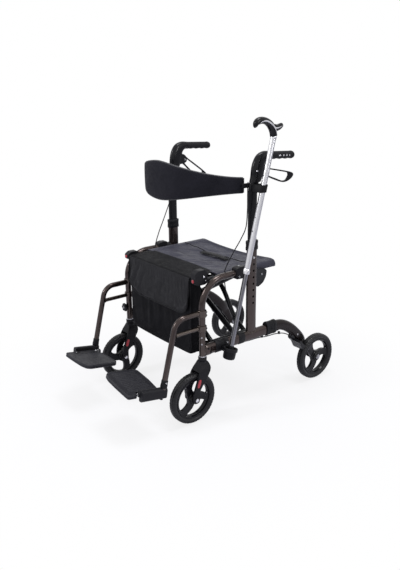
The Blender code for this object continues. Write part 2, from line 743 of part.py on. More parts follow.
# Handles
def upright_collar(side):
    outer = oval(COLLAR_WIDE / 2, COLLAR_DEEP / 2, 16)
    inner = oval(POST_WIDE / 2 + CLEAR, POST_DEEP / 2 + CLEAR, 16)
    low, high = UPRIGHT_TOP + CLEAR, UPRIGHT_TOP + COLLAR_HIGH
    rings = []
    for outline, z in ((inner, low), (outer, low), (outer, high), (inner, high)):
        rings.append([mirrored(side, (SIDE_X + u, v, z)) for u, v in outline])
    place(rings_mesh(rings, True), f"upright_collar_{side}", black_plastic())


def post_lean():
    """Direction of the post's upper end, which leans back into the housing."""
    lean = math.radians(POST_LEAN)
    return Vector((0, math.sin(lean), math.cos(lean)))


def lean_y(z):
    """Y of the post's leaning centre line at a height above its bend."""
    return (z - POST_BEND_Z) * math.tan(math.radians(POST_LEAN))


def handle_post(side):
    """Inner tube with its bent top and the pivot pin for the backrest."""
    path = rounded_path([mirrored(side, (SIDE_X, 0, POST_FOOT_Z)), mirrored(side, (SIDE_X, 0, POST_BEND_Z)),
                         mirrored(side, (SIDE_X, lean_y(POST_TOP_Z), POST_TOP_Z))], POST_BEND_R, 3)
    outline = oval(POST_WIDE / 2, POST_DEEP / 2, 16)
    post = place(tube(path, ACROSS, outline), f"handle_post_{side}", black_paint())
    face = SIDE_X + POST_WIDE / 2
    pocket = cylinder(mirrored(side, (face - 0.004, 0, HOLE_TOP_Z)),
                      mirrored(side, (face + 0.004, 0, HOLE_TOP_Z)), HOLE_R, 8)
    combine(post, "DIFFERENCE", [pocket])
    inner = SIDE_X - POST_WIDE / 2
    profile = [(0.0075, -0.002), (0.0075, inner - LINK_FACE), (HINGE_PIN_R, inner - LINK_FACE),
               (HINGE_PIN_R, inner - LINK_FACE + 0.0085)]
    pin = turned(mirrored(side, (inner, 0, BACKREST_PIN_Z)), ACROSS * -SIDES[side], profile, 10)
    combine(post, "UNION", [pin])


def height_button(side):
    face = SIDE_X + POST_WIDE / 2 + CLEAR
    out = SIDE_X + TUBE_WIDE / 2 + BUTTON_OUT
    start, end = mirrored(side, (face, 0, HOLE_TOP_Z)), mirrored(side, (out, 0, HOLE_TOP_Z))
    profile = [(BUTTON_R, 0), (BUTTON_R, (end - start).length - 0.001), (0.0028, (end - start).length)]
    place(turned(start, end - start, profile), f"height_button_{side}", steel(), start)


def housing_stations():
    """Centre (y, z), lean of each section in degrees, half depth and half width, from the foot to the grip."""
    wide = HOUSING_HALF
    return [
        (lean_y(HOUSING_FOOT_Z) + 0.0030, HOUSING_FOOT_Z, 0, 0.0242, wide),
        (0.0170, 0.903, 4, 0.0262, wide), (0.0205, 0.925, 8, 0.0275, wide),
        (0.0265, 0.946, 20, 0.0275, wide), (0.0370, 0.9640, 45, 0.0245, wide),
        (0.0530, 0.9735, 72, 0.0195, wide), (0.0660, 0.9765, 86, 0.0160, 0.0142),
        (GRIP_START - CLEAR, 0.9762, 90, 0.0150, 0.0142),
    ]


def handle_housing(side):
    """Bent shell that joins post and grip, with the mount of the brake lever behind it."""
    rings = []
    for y, z, lean, deep, wide in housing_stations():
        angle = math.radians(lean)
        across = Vector((0, math.cos(angle), -math.sin(angle)))
        spot = mirrored(side, (SIDE_X, y, z))
        rings.append([spot + ACROSS * u + across * v for u, v in oval(wide, deep, 14)])
    housing = place(rings_mesh(rings), f"handle_housing_{side}", black_plastic())
    mount = [(0.036, 0.899), (0.060, 0.9015), (0.0735, 0.908), (0.0735, 0.926), (0.062, 0.938), (0.036, 0.945)]
    low, high = span(side, SIDE_X - 0.0095, SIDE_X + 0.0095)
    combine(housing, "UNION", [chamfer(prism(mount, low, high), 0.002)])
    grow = CLEAR + 0.0002
    socket_path = [mirrored(side, (SIDE_X, lean_y(z), z)) for z in (HOUSING_FOOT_Z - 0.02, POST_TOP_Z)]
    socket_path[1] = socket_path[1] + post_lean() * grow
    socket = tube(socket_path, ACROSS, oval(POST_WIDE / 2 + grow, POST_DEEP / 2 + grow, 16))
    slot = LEVER_HALF + RUNNING
    a, b = span(side, SIDE_X - slot, SIDE_X + slot)
    lever_slot = block((a, 0.0495, 0.880), (b, 0.090, 0.950))
    combine(housing, "DIFFERENCE", [socket, lever_slot])
    y, z = LEVER_PIVOT
    lever_pin = cylinder(mirrored(side, (SIDE_X - slot - 0.002, y, z)),
                         mirrored(side, (SIDE_X + slot + 0.002, y, z)), HINGE_PIN_R, 10)
    combine(housing, "UNION", [lever_pin])


def grip(side):
    """Handlebar grip with shallow finger waves underneath, drooping a little to the rear."""
    rings = []
    count = 13
    droop = math.tan(math.radians(GRIP_DROOP))
    for i in range(count):
        share = i / (count - 1)
        y = GRIP_START + (GRIP_END - GRIP_START) * share
        centre_z = GRIP_Z - droop * (y - 0.100)
        swell = 1.0 - 0.08 * max(0.0, (share - 0.92) / 0.08) - 0.04 * max(0.0, (0.06 - share) / 0.06)
        wave = 0.0014 * math.sin(share * 8 * math.pi) if 0.1 < share < 0.9 else 0.0
        ring = []
        for u, v in round_outline(GRIP_R * swell):
            drop = wave if v < 0 else 0.0
            ring.append(mirrored(side, (SIDE_X + u, y, centre_z + v + drop)))
        rings.append(ring)
    end_z = GRIP_Z - droop * (GRIP_END + 0.003 - 0.100)
    rings.append([mirrored(side, (SIDE_X + u, GRIP_END + 0.003, end_z + v))
                  for u, v in round_outline(GRIP_R * 0.7)])
    place(rings_mesh(rings), f"grip_{side}", rubber())


# Scissor brace and seat
def lower_sleeve_ends():
    """Front and back Y of the sleeve that turns on each lower pivot tube."""
    return -0.184, 0.040


def arm_plane_names():
    return ("straight", "rear_bent", "front_bent")


def bent_arm_path(sign, y):
    """Centre line of a bent arm: low and shallow by the rail, steep under the seat's edge, then flat."""
    points = [(PIVOT_X, RAIL_Z), (0.187, 0.3055), (0.158, 0.326), (0.138, 0.352), (0.101, 0.409),
              (0.074, 0.441), (0.040, 0.469), (0.000, 0.490), (-0.070, 0.511),
              (-PIVOT_X, SEAT_RAIL_Z)]
    return [Vector((sign * x, y, z)) for x, z in points]


def brace_arm(side):
    """Welded arm set of one side: a straight bar and two bent ones from its base rail to the far seat rail."""
    sign = SIDES[side]
    straight_y, rear_y, front_y = ARM_PLANES[side]
    lower, upper = Vector((sign * PIVOT_X, 0, RAIL_Z)), Vector((-sign * PIVOT_X, 0, SEAT_RAIL_Z))
    front, back = lower_sleeve_ends()
    bore = LOWER_TUBE_R / math.cos(math.pi / 12) + RUNNING
    wall = bore + SLEEVE_WALL
    arm = place(cylinder(lower + ALONG * front, lower + ALONG * back, wall), f"brace_arm_{side}",
                black_paint(), lower)
    bars = [tube([lower + ALONG * straight_y, upper + ALONG * straight_y], ALONG, round_outline(ARM_R))]
    for y in (rear_y, front_y):
        bars.append(tube(bent_arm_path(sign, y), ALONG, round_outline(BENT_ARM_R, 8)))
    top_bore = SEAT_RAIL_R / math.cos(math.pi / 12) + RUNNING
    top_wall = top_bore + SLEEVE_WALL
    for y in ARM_PLANES[side]:
        bars.append(cylinder(upper + ALONG * (y - 0.0115), upper + ALONG * (y + 0.0115), top_wall))
    combine(arm, "UNION", bars)
    cuts = [cylinder(lower + ALONG * (front - 0.01), lower + ALONG * (back + 0.01), bore)]
    cuts.append(cylinder(upper + ALONG * (front_y - 0.02), upper + ALONG * (rear_y + 0.02), top_bore))
    middle = (lower + upper) / 2
    cuts.append(cylinder(middle + ALONG * (straight_y - 0.02), middle + ALONG * (straight_y + 0.02),
                         AXLE_R + RUNNING))
    combine(arm, "DIFFERENCE", cuts)


def brace_pivot_bolt():
    middle = Vector((0, 0, (RAIL_Z + SEAT_RAIL_Z) / 2))
    front = min(ARM_PLANES["left"][0], ARM_PLANES["right"][0]) - ARM_R
    back = max(ARM_PLANES["left"][0], ARM_PLANES["right"][0]) + ARM_R
    profile = [(0.0085, front - 0.005), (0.0085, front - CLEAR), (AXLE_R - CLEAR, front - CLEAR),
               (AXLE_R - CLEAR, back + CLEAR), (0.0085, back + CLEAR), (0.0085, back + 0.006)]
    place(turned(middle, ALONG, profile), "brace_pivot_bolt", steel(), middle)


def seat_rail(side):
    """Seat tube that turns in the arms' top sleeves, with the catch housing on its front end."""
    start = mirrored(side, (PIVOT_X, SEAT_RAIL_FRONT - 0.004, SEAT_RAIL_Z))
    end = mirrored(side, (PIVOT_X, SEAT_RAIL_BACK, SEAT_RAIL_Z))
    rail = place(cylinder(start, end, SEAT_RAIL_R), f"seat_rail_{side}", black_paint(), start)
    low, high = span(side, PIVOT_X - 0.0095, SIDE_X - TUBE_WIDE / 2 - 0.0016)
    top = CATCH_TOP[side]
    catch = [(BAG_FRONT, 0.540), (-0.250, 0.532), (-0.214, 0.532), (SEAT_RAIL_FRONT, 0.540),
             (SEAT_RAIL_FRONT, top - 0.012), (-0.218, top), (-0.246, top), (BAG_FRONT, top - 0.010)]
    combine(rail, "UNION", [chamfer(prism(catch, low, high), 0.002)])
    spot = mirrored(side, (PIVOT_X + 0.004, BAG_FRONT, BUTTON_Z))
    combine(rail, "DIFFERENCE", [cylinder(spot - ALONG * 0.01, spot + ALONG * 0.0095, 0.0065 + RUNNING)])


def release_button(side):
    """Red push button in the front of each seat catch."""
    spot = mirrored(side, (PIVOT_X + 0.004, BAG_FRONT, BUTTON_Z))
    profile = [(0.0050, -0.0035), (0.0065, -0.0025), (0.0065, 0.0045)]
    place(turned(spot, ALONG, profile), f"release_button_{side}", red_plastic(), spot)


def seat_surface(x, share_y):
    """Height of the seat's underside: level over its rails and slung a little lower between them."""
    share_x = min(1.0, abs(x) / SEAT_FLAT_FROM)
    sag = SEAT_SAG * (1 - share_x * share_x) * (1.0 - 0.35 * share_y * share_y)
    top_wall = SEAT_RAIL_R / math.cos(math.pi / 12) + RUNNING + SLEEVE_WALL
    return SEAT_RAIL_Z + top_wall + CLEAR + 0.0002 - sag


def seat_fabric():
    """Sling seat with a slack middle and stitched front and back edges."""
    count_x, count_y = 14, 8
    mesh = bmesh.new()
    rows = {}
    for top in (0, 1):
        for i in range(count_x + 1):
            for j in range(count_y + 1):
                sx, sy = 2 * i / count_x - 1, 2 * j / count_y - 1
                draw = 1.0 - 0.012 * (1 - sy * sy)
                x = SEAT_HALF * sx * (draw if abs(sx) == 1 else 1.0)
                bow = SEAT_BOW * (1 - sx * sx)
                y = (SEAT_FRONT + SEAT_BACK) / 2 + (SEAT_BACK - SEAT_FRONT) / 2 * sy
                y += (bow if sy == -1 else 0) - (bow if sy == 1 else 0)
                puff = 0.0012 * math.sin(sy * 3 * math.pi) * (1 - sx * sx)
                edge = 0.6 if abs(sx) == 1 or abs(sy) == 1 else 1.0
                z = seat_surface(SEAT_HALF * sx, sy) + top * (SEAT_THICK * edge + puff)
                rows[top, i, j] = mesh.verts.new((x, y, z))
    for top in (0, 1):
        for i in range(count_x):
            for j in range(count_y):
                mesh.faces.new((rows[top, i, j], rows[top, i + 1, j], rows[top, i + 1, j + 1],
                                rows[top, i, j + 1]))
    edge = [(i, 0) for i in range(count_x)] + [(count_x, j) for j in range(count_y)]
    edge += [(i, count_y) for i in range(count_x, 0, -1)] + [(0, j) for j in range(count_y, 0, -1)]
    for (a, b), (c, d) in zip(edge, edge[1:] + edge[:1]):
        mesh.faces.new((rows[0, a, b], rows[0, c, d], rows[1, c, d], rows[1, a, b]))
    bmesh.ops.recalc_face_normals(mesh, faces=mesh.faces)
    place(mesh, "seat_fabric", seat_cloth())


def lift_strap():
    """Webbing pull strap that lies across the middle of the seat."""
    rings = []
    count = 9
    centre_y, half_y = 0.015, 0.0125
    for i in range(count):
        share = 2 * i / (count - 1) - 1
        x = STRAP_MIDDLE + STRAP_HALF * share
        lift = 0.006 * (1 - share * share)
        base = seat_surface(x, 0) + SEAT_THICK + 0.0016 + lift
        rings.append([Vector((x, centre_y + dy, base + dz))
                      for dy, dz in ((-half_y, 0), (half_y, 0), (half_y, 0.002), (-half_y, 0.002))])
    place(rings_mesh(rings), "lift_strap", black_plastic())


# Bag and backrest
def bag():
    """Shopping bag slung between the front tubes, with the strip that carries its flap."""
    outline = [(BAG_BACK, BAG_FOOT + 0.010), (BAG_BACK + 0.004, 0.400), (BAG_BACK, BAG_TOP),
               (BAG_FRONT + 0.006, BAG_TOP), (BAG_FRONT, BAG_TOP - 0.020), (BAG_FRONT, 0.400),
               (BAG_FRONT + 0.002, BAG_FOOT + 0.012), (BAG_FRONT + 0.012, BAG_FOOT),
               (BAG_BACK - 0.012, BAG_FOOT)]
    rings = []
    for share in (-1.0, -0.94, -0.5, 0.0, 0.5, 0.94, 1.0):
        shrink = 0.004 if abs(share) == 1.0 else 0.0
        sag = 0.005 * (1 - share * share)
        ring = []
        for y, z in outline:
            inward = shrink if y < (BAG_FRONT + BAG_BACK) / 2 else -shrink
            drop = sag if z < BAG_FOOT + 0.02 else 0.0
            ring.append(Vector((BAG_HALF * share, y + inward, z - drop + (shrink if z < 0.3 else -shrink))))
        rings.append(ring)
    made = place(rings_mesh(rings), "bag", bag_cloth())
    strip_z = SEAT_RAIL_Z + 0.0195
    half = BAG_HALF - 0.002
    bow = SEAT_BOW * (1 - (half / SEAT_HALF) ** 2)
    strip = block((-half, BAG_FRONT + 0.008, strip_z - 0.012), (half, SEAT_FRONT + bow - CLEAR, strip_z))
    combine(made, "UNION", [strip])
    wall = 0.004
    pocket = block((-BAG_HALF + 0.010, BAG_FRONT + wall, BAG_FOOT + 0.014),
                   (BAG_HALF - 0.010, BAG_BACK - wall - 0.002, BAG_TOP - 0.010))
    mouth = block((-BAG_HALF + 0.035, BAG_FRONT - 0.010, BAG_TOP - 0.115),
                  (BAG_HALF - 0.035, BAG_FRONT + 0.020, BAG_TOP - 0.022))
    combine(made, "DIFFERENCE", [pocket, mouth])


def bag_flap():
    """Front flap hinged along the bag's top edge, rounded at its lower corners."""
    top = BAG_TOP + 0.004
    low = top - FLAP_DROP
    half = BAG_HALF - 0.003
    corner = 0.070
    outline = [(-half, top), (-half, low + corner)]
    for i in range(1, 5):
        angle = math.radians(90 * i / 5)
        outline.append((-half + corner * (1 - math.cos(angle)), low + corner * (1 - math.sin(angle))))
    outline.append((-half + corner, low))
    outline += [(-x, z) for x, z in reversed(outline)]
    back = BAG_FRONT - CLEAR - 0.0002
    rings = []
    for y in (back - FLAP_THICK, back):
        rings.append([Vector((x, y, z)) for x, z in outline])
    place(rings_mesh(rings), "bag_flap", bag_cloth(), (0, back, top))


def backrest_station(angle):
    """Centre, outward normal and half height of the backrest at an angle round its bow."""
    c, s = math.cos(angle), math.sin(angle)
    x = BACKREST_HALF * math.copysign(abs(c) ** (2 / 2.85), c)
    y = BACKREST_START_Y - BACKREST_REACH * abs(s) ** (2 / 1.755)
    share = min(1.0, abs(x) / BACKREST_HALF)
    half = BACKREST_END_HALF + (BACKREST_MID_HALF - BACKREST_END_HALF) * (1 - share ** 1.58)
    z = BACKREST_PIN_Z + BACKREST_RISE * (BACKREST_START_Y - y)
    return Vector((x, y, z)), half


def backrest_pad():
    """Padded band bowed forward between the posts, deepest at its middle, with a link at each end."""
    count = 18
    stations = [backrest_station(math.pi * i / count) for i in range(count + 1)]
    rings = []
    for i, (spot, half) in enumerate(stations):
        ahead = stations[min(i + 1, count)][0] - stations[max(i - 1, 0)][0]
        normal = Vector((ahead.y, -ahead.x, 0)).normalized()
        thick = BACKREST_THICK / 2 * (0.55 + 0.45 * math.sin(math.pi * i / count) ** 0.5)
        ring = [spot + normal * (thick * u) + UP * (half * v) for u, v in (
            (0.35, 1.0), (1.0, 0.88), (1.15, 0.0), (1.0, -0.88), (0.35, -1.0),
            (-0.35, -1.0), (-0.7, -0.88), (-0.85, 0.0), (-0.7, 0.88), (-0.35, 1.0))]
        rings.append(ring)
    pad = place(rings_mesh(rings), "backrest_pad", pad_cloth(), (0, 0, BACKREST_PIN_Z))
    face = LINK_FACE - CLEAR
    links = []
    bores = []
    for side in SIDES:
        low, high = span(side, face - 0.0080, face)
        outline = [(-0.042, -0.0085), (0.002, -0.0085), (0.0075, -0.0045), (0.0090, 0.0),
                   (0.0075, 0.0045), (0.002, 0.0085), (-0.042, 0.0085)]
        links.append(prism([(y, BACKREST_PIN_Z + z) for y, z in outline], low, high))
        back = span(side, face - 0.022, face - 0.0020)
        links.append(block((back[0], -0.044, BACKREST_PIN_Z - 0.0075),
                           (back[1], -0.026, BACKREST_PIN_Z + 0.0075)))
        bores.append(cylinder(mirrored(side, (face - 0.0105, 0, BACKREST_PIN_Z)),
                              mirrored(side, (face + 0.004, 0, BACKREST_PIN_Z)),
                              HINGE_PIN_R + RUNNING, 10))
    combine(pad, "UNION", links)
    combine(pad, "DIFFERENCE", bores)


# Legrests
def hanger_point(z):
    """Y of the hanger's leaning lower tube at a height."""
    return HANGER_CORNER_Y - (HANGER_TOP_Z - z) * math.tan(math.radians(HANGER_LEAN))


def foot_point(side, x, along, above):
    """A point of the foot assembly: X, distance forward along its tilt, and distance above its hinge line."""
    tilt = math.radians(FOOT_TILT)
    y = FOOT_HINGE_Y - along * math.cos(tilt) + above * math.sin(tilt)
    z = FOOT_HINGE_Z + along * math.sin(tilt) + above * math.cos(tilt)
    return mirrored(side, (x, y, z))


def foot_block(side, low_x, high_x, start, end, low, high):
    rings = []
    for x in (low_x, high_x):
        rings.append([foot_point(side, x, a, n) for a, n in ((start, low), (end, low), (end, high), (start, high))])
    return rings_mesh(rings)


def legrest_hanger(side):
    """Bent tube with two clamps round the front tube, a strut, and the bracket that holds the footplate."""
    start = mirrored(side, (HANGER_X, FRONT_TUBE_Y - FRONT_TUBE_R - 0.003, HANGER_TOP_Z))
    corner = mirrored(side, (HANGER_X, HANGER_CORNER_Y, HANGER_TOP_Z))
    foot_z = FOOT_HINGE_Z + 0.004
    end = mirrored(side, (HANGER_X, hanger_point(foot_z), foot_z))
    path = rounded_path([start, corner, end], HANGER_BEND, 6)
    pivot = mirrored(side, (SIDE_X, FRONT_TUBE_Y, STRUT_Z))
    hanger = place(tube(path, ACROSS, round_outline(HANGER_R)), f"legrest_hanger_{side}", frame_paint(),
                   pivot)
    bore = FRONT_TUBE_R / math.cos(math.pi / 12) + CLEAR
    clamps, bores = [], []
    for z, half in ((HANGER_TOP_Z, 0.013), (STRUT_Z, 0.011)):
        spot = mirrored(side, (SIDE_X, FRONT_TUBE_Y, z))
        clamps.append(cylinder(spot - UP * half, spot + UP * half, bore + 0.004))
        bores.append(cylinder(spot - UP * (half + 0.01), spot + UP * (half + 0.01), bore))
    strut = cylinder(mirrored(side, (HANGER_X, FRONT_TUBE_Y - FRONT_TUBE_R - 0.003, STRUT_Z)),
                     mirrored(side, (HANGER_X, hanger_point(STRUT_Z), STRUT_Z)), STRUT_R)
    collar_top, collar_foot = 0.214, 0.188
    collar = cylinder(mirrored(side, (HANGER_X, hanger_point(collar_top), collar_top)),
                      mirrored(side, (HANGER_X, hanger_point(collar_foot), collar_foot)), 0.0125)
    low_x, high_x = FOOT_HINGE_X + KNUCKLE_R + 0.001, 0.2595
    box = foot_block(side, low_x, high_x, -0.012 + CLEAR, FOOT_BOX_LONG - RUNNING, -0.022, 0.020)
    ears = []
    for a, b in ((-0.012, -0.003), (FOOT_BOX_LONG - 0.008, FOOT_BOX_LONG)):
        ears.append(foot_block(side, FOOT_HINGE_X, low_x + 0.002, a + RUNNING, b - CLEAR, -KNUCKLE_R, KNUCKLE_R))
        ears.append(cylinder(foot_point(side, FOOT_HINGE_X, a, 0), foot_point(side, FOOT_HINGE_X, b, 0), KNUCKLE_R))
    combine(hanger, "UNION", clamps + [strut, collar, box] + ears)
    pin = cylinder(foot_point(side, FOOT_HINGE_X, -0.020, 0), foot_point(side, FOOT_HINGE_X, FOOT_BOX_LONG + 0.01, 0),
                   HINGE_PIN_R + RUNNING)
    combine(hanger, "DIFFERENCE", bores + [pin])


def footplate_hinge(side):
    """Hinge pin with the knuckle that carries the footplate's rear end."""
    tilt_axis = foot_point(side, FOOT_HINGE_X, 1, 0) - foot_point(side, FOOT_HINGE_X, 0, 0)
    start = foot_point(side, FOOT_HINGE_X, 0, 0)
    ear = -0.003 + CLEAR
    end = ear + KNUCKLE_LONG
    profile = [(HINGE_PIN_R, -0.014), (HINGE_PIN_R, ear), (KNUCKLE_R, ear), (KNUCKLE_R, end),
               (HINGE_PIN_R, end), (HINGE_PIN_R, FOOT_BOX_LONG + 0.003)]
    place(turned(start, tilt_axis, profile), f"footplate_hinge_{side}", steel(), start)


def footplate(side):
    """Folding footplate with a raised rim, its inner end resting a little above its hinge."""
    start = foot_point(side, FOOT_HINGE_X, 0, 0)
    axis = foot_point(side, FOOT_HINGE_X, 1, 0) - start
    knuckle_start = -0.003 + KNUCKLE_LONG + 2 * CLEAR
    knuckle_end = FOOT_BOX_LONG - 0.008 - CLEAR
    plate_edge = FOOT_HINGE_X - KNUCKLE_R - 0.0015
    outline = [(FOOT_HINGE_X, knuckle_start), (FOOT_HINGE_X, knuckle_end), (plate_edge, knuckle_end),
               (plate_edge, 0.136), (0.190, 0.1430), (0.120, 0.1445), (0.075, 0.140), (0.060, 0.124),
               (0.062, 0.016), (0.075, 0.003), (0.150, -0.001), (plate_edge, 0.004),
               (plate_edge, knuckle_start)]
    half = FOOT_THICK / 2
    rings = []
    for above in (-half, half):
        rings.append([foot_point(side, x, a, above) for x, a in outline])
    shape = rings_mesh(rings)
    plate = chamfer(shape, 0.002)
    lift = Matrix.Rotation(math.radians(FOOT_LIFT[side]) * -SIDES[side], 4, axis)
    bmesh.ops.transform(plate, matrix=lift, space=Matrix.Translation(-start), verts=plate.verts)
    made = place(plate, f"footplate_{side}", black_plastic(), start)
    barrel = cylinder(foot_point(side, FOOT_HINGE_X, knuckle_start, 0),
                      foot_point(side, FOOT_HINGE_X, knuckle_end, 0), KNUCKLE_R)
    combine(made, "UNION", [barrel])
    bore = cylinder(foot_point(side, FOOT_HINGE_X, 0, 0), foot_point(side, FOOT_HINGE_X, 0.12, 0),
                    HINGE_PIN_R + RUNNING)
    combine(made, "DIFFERENCE", [bore])


# Cane and its holder
def cane_axis():
    lean = math.radians(CANE_LEAN)
    return Vector((0, math.sin(lean), math.cos(lean)))


def cane_point(along):
    return Vector((CANE_X, *CANE_FOOT)) + cane_axis() * along


def cane_lower_tube():
    """Inner tube of the cane with its rubber ferrule."""
    profile = [(FERRULE_R - 0.0015, 0), (FERRULE_R, 0.0015), (FERRULE_R, FERRULE_LONG * 0.6),
               (CANE_LOWER_R + 0.0012, FERRULE_LONG), (CANE_LOWER_R, FERRULE_LONG), (CANE_LOWER_R, 0.475)]
    place(turned(cane_point(0), cane_axis(), profile), "cane_lower_tube", chrome(), cane_point(0))


def cane_upper_tube():
    """Outer tube of the cane with its chrome lock nut."""
    bore = CANE_LOWER_R / math.cos(math.pi / 12) + RUNNING
    profile = [(bore, CANE_NUT_Z - 0.016), (0.0130, CANE_NUT_Z - 0.016), (0.0130, CANE_NUT_Z),
               (CANE_UPPER_R, CANE_NUT_Z + 0.004), (CANE_UPPER_R, CANE_TOP), (0.004, CANE_TOP),
               (0.004, CANE_TOP - 0.03), (bore, CANE_TOP - 0.03)]
    place(turned(cane_point(0), cane_axis(), profile, looped=True), "cane_upper_tube", chrome(),
          cane_point(0))


def cane_handle():
    """Derby handle: a long nose forward, a short horn behind and a neck over the tube."""
    stations = [(-0.044, 1.1000, 0.006, 0.008), (-0.040, 1.1000, 0.011, 0.014),
                (-0.022, 1.0990, 0.013, 0.017), (0.006, 1.0995, 0.014, 0.019),
                (0.030, 1.0925, 0.0135, 0.019), (0.056, 1.0830, 0.013, 0.018),
                (0.078, 1.0830, 0.012, 0.0145), (0.096, 1.0850, 0.010, 0.012),
                (0.103, 1.0860, 0.005, 0.006)]
    path = [Vector((CANE_X, y, z)) for y, z, _, _ in stations]
    outlines = [tuple(oval(wide, high, 10, 2.2)) for _, _, wide, high in stations]
    handle = place(tube(path, ACROSS, outlines), "cane_handle", black_plastic(), cane_point(CANE_TOP))
    neck = turned(cane_point(0), cane_axis(), [(0.0125, CANE_TOP + CLEAR), (0.0140, CANE_TOP + 0.022),
                                                (0.0120, CANE_TOP + 0.040)])
    plug = cylinder(cane_point(CANE_TOP - 0.020), cane_point(CANE_TOP + 0.010), 0.0036)
    combine(handle, "UNION", [neck, plug])


def cane_cup():
    """Cup on the left base rail that the cane stands in, tilted with the cane."""
    foot = cane_point(-CUP_FLOOR) + ALONG * -0.002
    inner = CUP_R - CUP_WALL
    lip = CUP_LONG - 0.012
    profile = [(inner - 0.003, CUP_FLOOR - CLEAR), (inner, CUP_FLOOR + 0.004), (inner, CUP_LONG),
               (CUP_LIP_R, CUP_LONG), (CUP_LIP_R, lip), (CUP_R, lip - 0.002), (CUP_R - 0.001, 0.005),
               (CUP_R - 0.006, 0)]
    cup = place(turned(foot, cane_axis(), profile, CUP_SIDES), "cane_cup", black_plastic(), foot)
    face = SIDE_X + TUBE_WIDE / 2 + CLEAR
    middle = foot + cane_axis() * (CUP_LONG - 0.008)
    bracket = block((face, middle.y - 0.016, 0.262), (CANE_X - inner - 0.0010, middle.y + 0.016, 0.282))
    combine(cup, "UNION", [bracket])


def cane_strap():
    """Strap loop that holds the cane against the left handle post."""
    face = SIDE_X + POST_WIDE / 2 + CLEAR
    middle = STRAP_Z + STRAP_HIGH / 2
    centre_y = cane_point((middle - CANE_FOOT[1]) / cane_axis().z).y
    outline = [(face, -0.014), (face + 0.006, -0.015), (CANE_X + 0.004, centre_y - 0.0155),
               (CANE_X + 0.014, centre_y - 0.006), (CANE_X + 0.014, centre_y + 0.008),
               (CANE_X + 0.004, centre_y + 0.0165), (face + 0.008, centre_y + 0.0165), (face, 0.014)]
    rings = [[Vector((x, y, z)) for x, y in outline] for z in (STRAP_Z, STRAP_Z + STRAP_HIGH)]
    strap = place(rings_mesh(rings), "cane_strap", black_plastic())
    hole = CANE_UPPER_R / math.cos(math.pi / 12) + RUNNING
    low = (STRAP_Z - CANE_FOOT[1]) / cane_axis().z
    combine(strap, "DIFFERENCE", [cylinder(cane_point(low - 0.03), cane_point(low + 0.07), hole)])


# Star knob
def star_knob():
    """Six-lobed hand screw on the front of the right front tube."""
    centre = mirrored("right", (SIDE_X, FRONT_TUBE_Y - FRONT_TUBE_R - CLEAR, KNOB_Z))
    rings = []
    for depth, share in ((0.0, 0.45), (0.004, 0.45), (0.0042, 0.95), (0.007, 1.0),
                         (0.004 + KNOB_THICK - 0.002, 1.0), (0.004 + KNOB_THICK, 0.88)):
        ring = []
        for i in range(24):
            angle = 2 * math.pi * i / 24
            lobe = 1.0 if share < 0.5 else 0.90 + 0.10 * math.cos(6 * angle)
            radius = KNOB_R * share * lobe
            ring.append(centre + Vector((radius * math.cos(angle), -depth, radius * math.sin(angle))))
        rings.append(ring)
    place(rings_mesh(rings), "star_knob", black_plastic(), centre)


def clear_scene():
    for thing in list(bpy.data.objects):
        bpy.data.objects.remove(thing, do_unlink=True)


def build():
    global FRAME
    clear_scene()
    FRAME = bpy.data.objects.new("chair_frame", None)
    FRAME.location = (-ORIGIN_X, -ORIGIN_Y, 0)
    bpy.context.scene.collection.objects.link(FRAME)
    for side in SIDES:
        base_rail(side)
        upright(side)
        front_tube(side)
        rear_leg(side)
        rear_axle(side)
        rear_centre = mirrored(side, (REAR_WHEEL_X, REAR_WHEEL_Y, WHEEL_R))
        front_centre = mirrored(side, (CASTER_X, FRONT_TUBE_Y - CASTER_TRAIL, WHEEL_R))
        tyre(f"rear_tyre_{side}", rear_centre)
        rim(f"rear_rim_{side}", rear_centre, 1.0, REAR_SPOKE_TURN)
        tyre(f"front_tyre_{side}", front_centre)
        rim(f"front_rim_{side}", front_centre, 1.0, FRONT_SPOKE_TURN)
        caster_fork(side)
        brake_shoe(side)
        brake_cable(side)
        brake_lever(side)
        upright_collar(side)
        handle_post(side)
        height_button(side)
        handle_housing(side)
        grip(side)
        brace_arm(side)
        seat_rail(side)
        release_button(side)
        legrest_hanger(side)
        footplate_hinge(side)
        footplate(side)
    brace_pivot_bolt()
    seat_fabric()
    lift_strap()
    bag()
    bag_flap()
    backrest_pad()
    cane_lower_tube()
    cane_upper_tube()
    cane_handle()
    cane_cup()
    cane_strap()
    star_knob()


build()
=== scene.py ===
"""Rollator transport chair: finishes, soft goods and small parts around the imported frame.

Shapes are drawn for the left side in the chair's layout, where Y is zero at the uprights and X at the
middle, and then mirrored for the right side and moved into the frame. Metres, +Z up, facing -Y.
"""
import math

import bmesh
import bpy
from mathutils import Matrix, Vector, noise
from mathutils.bvhtree import BVHTree


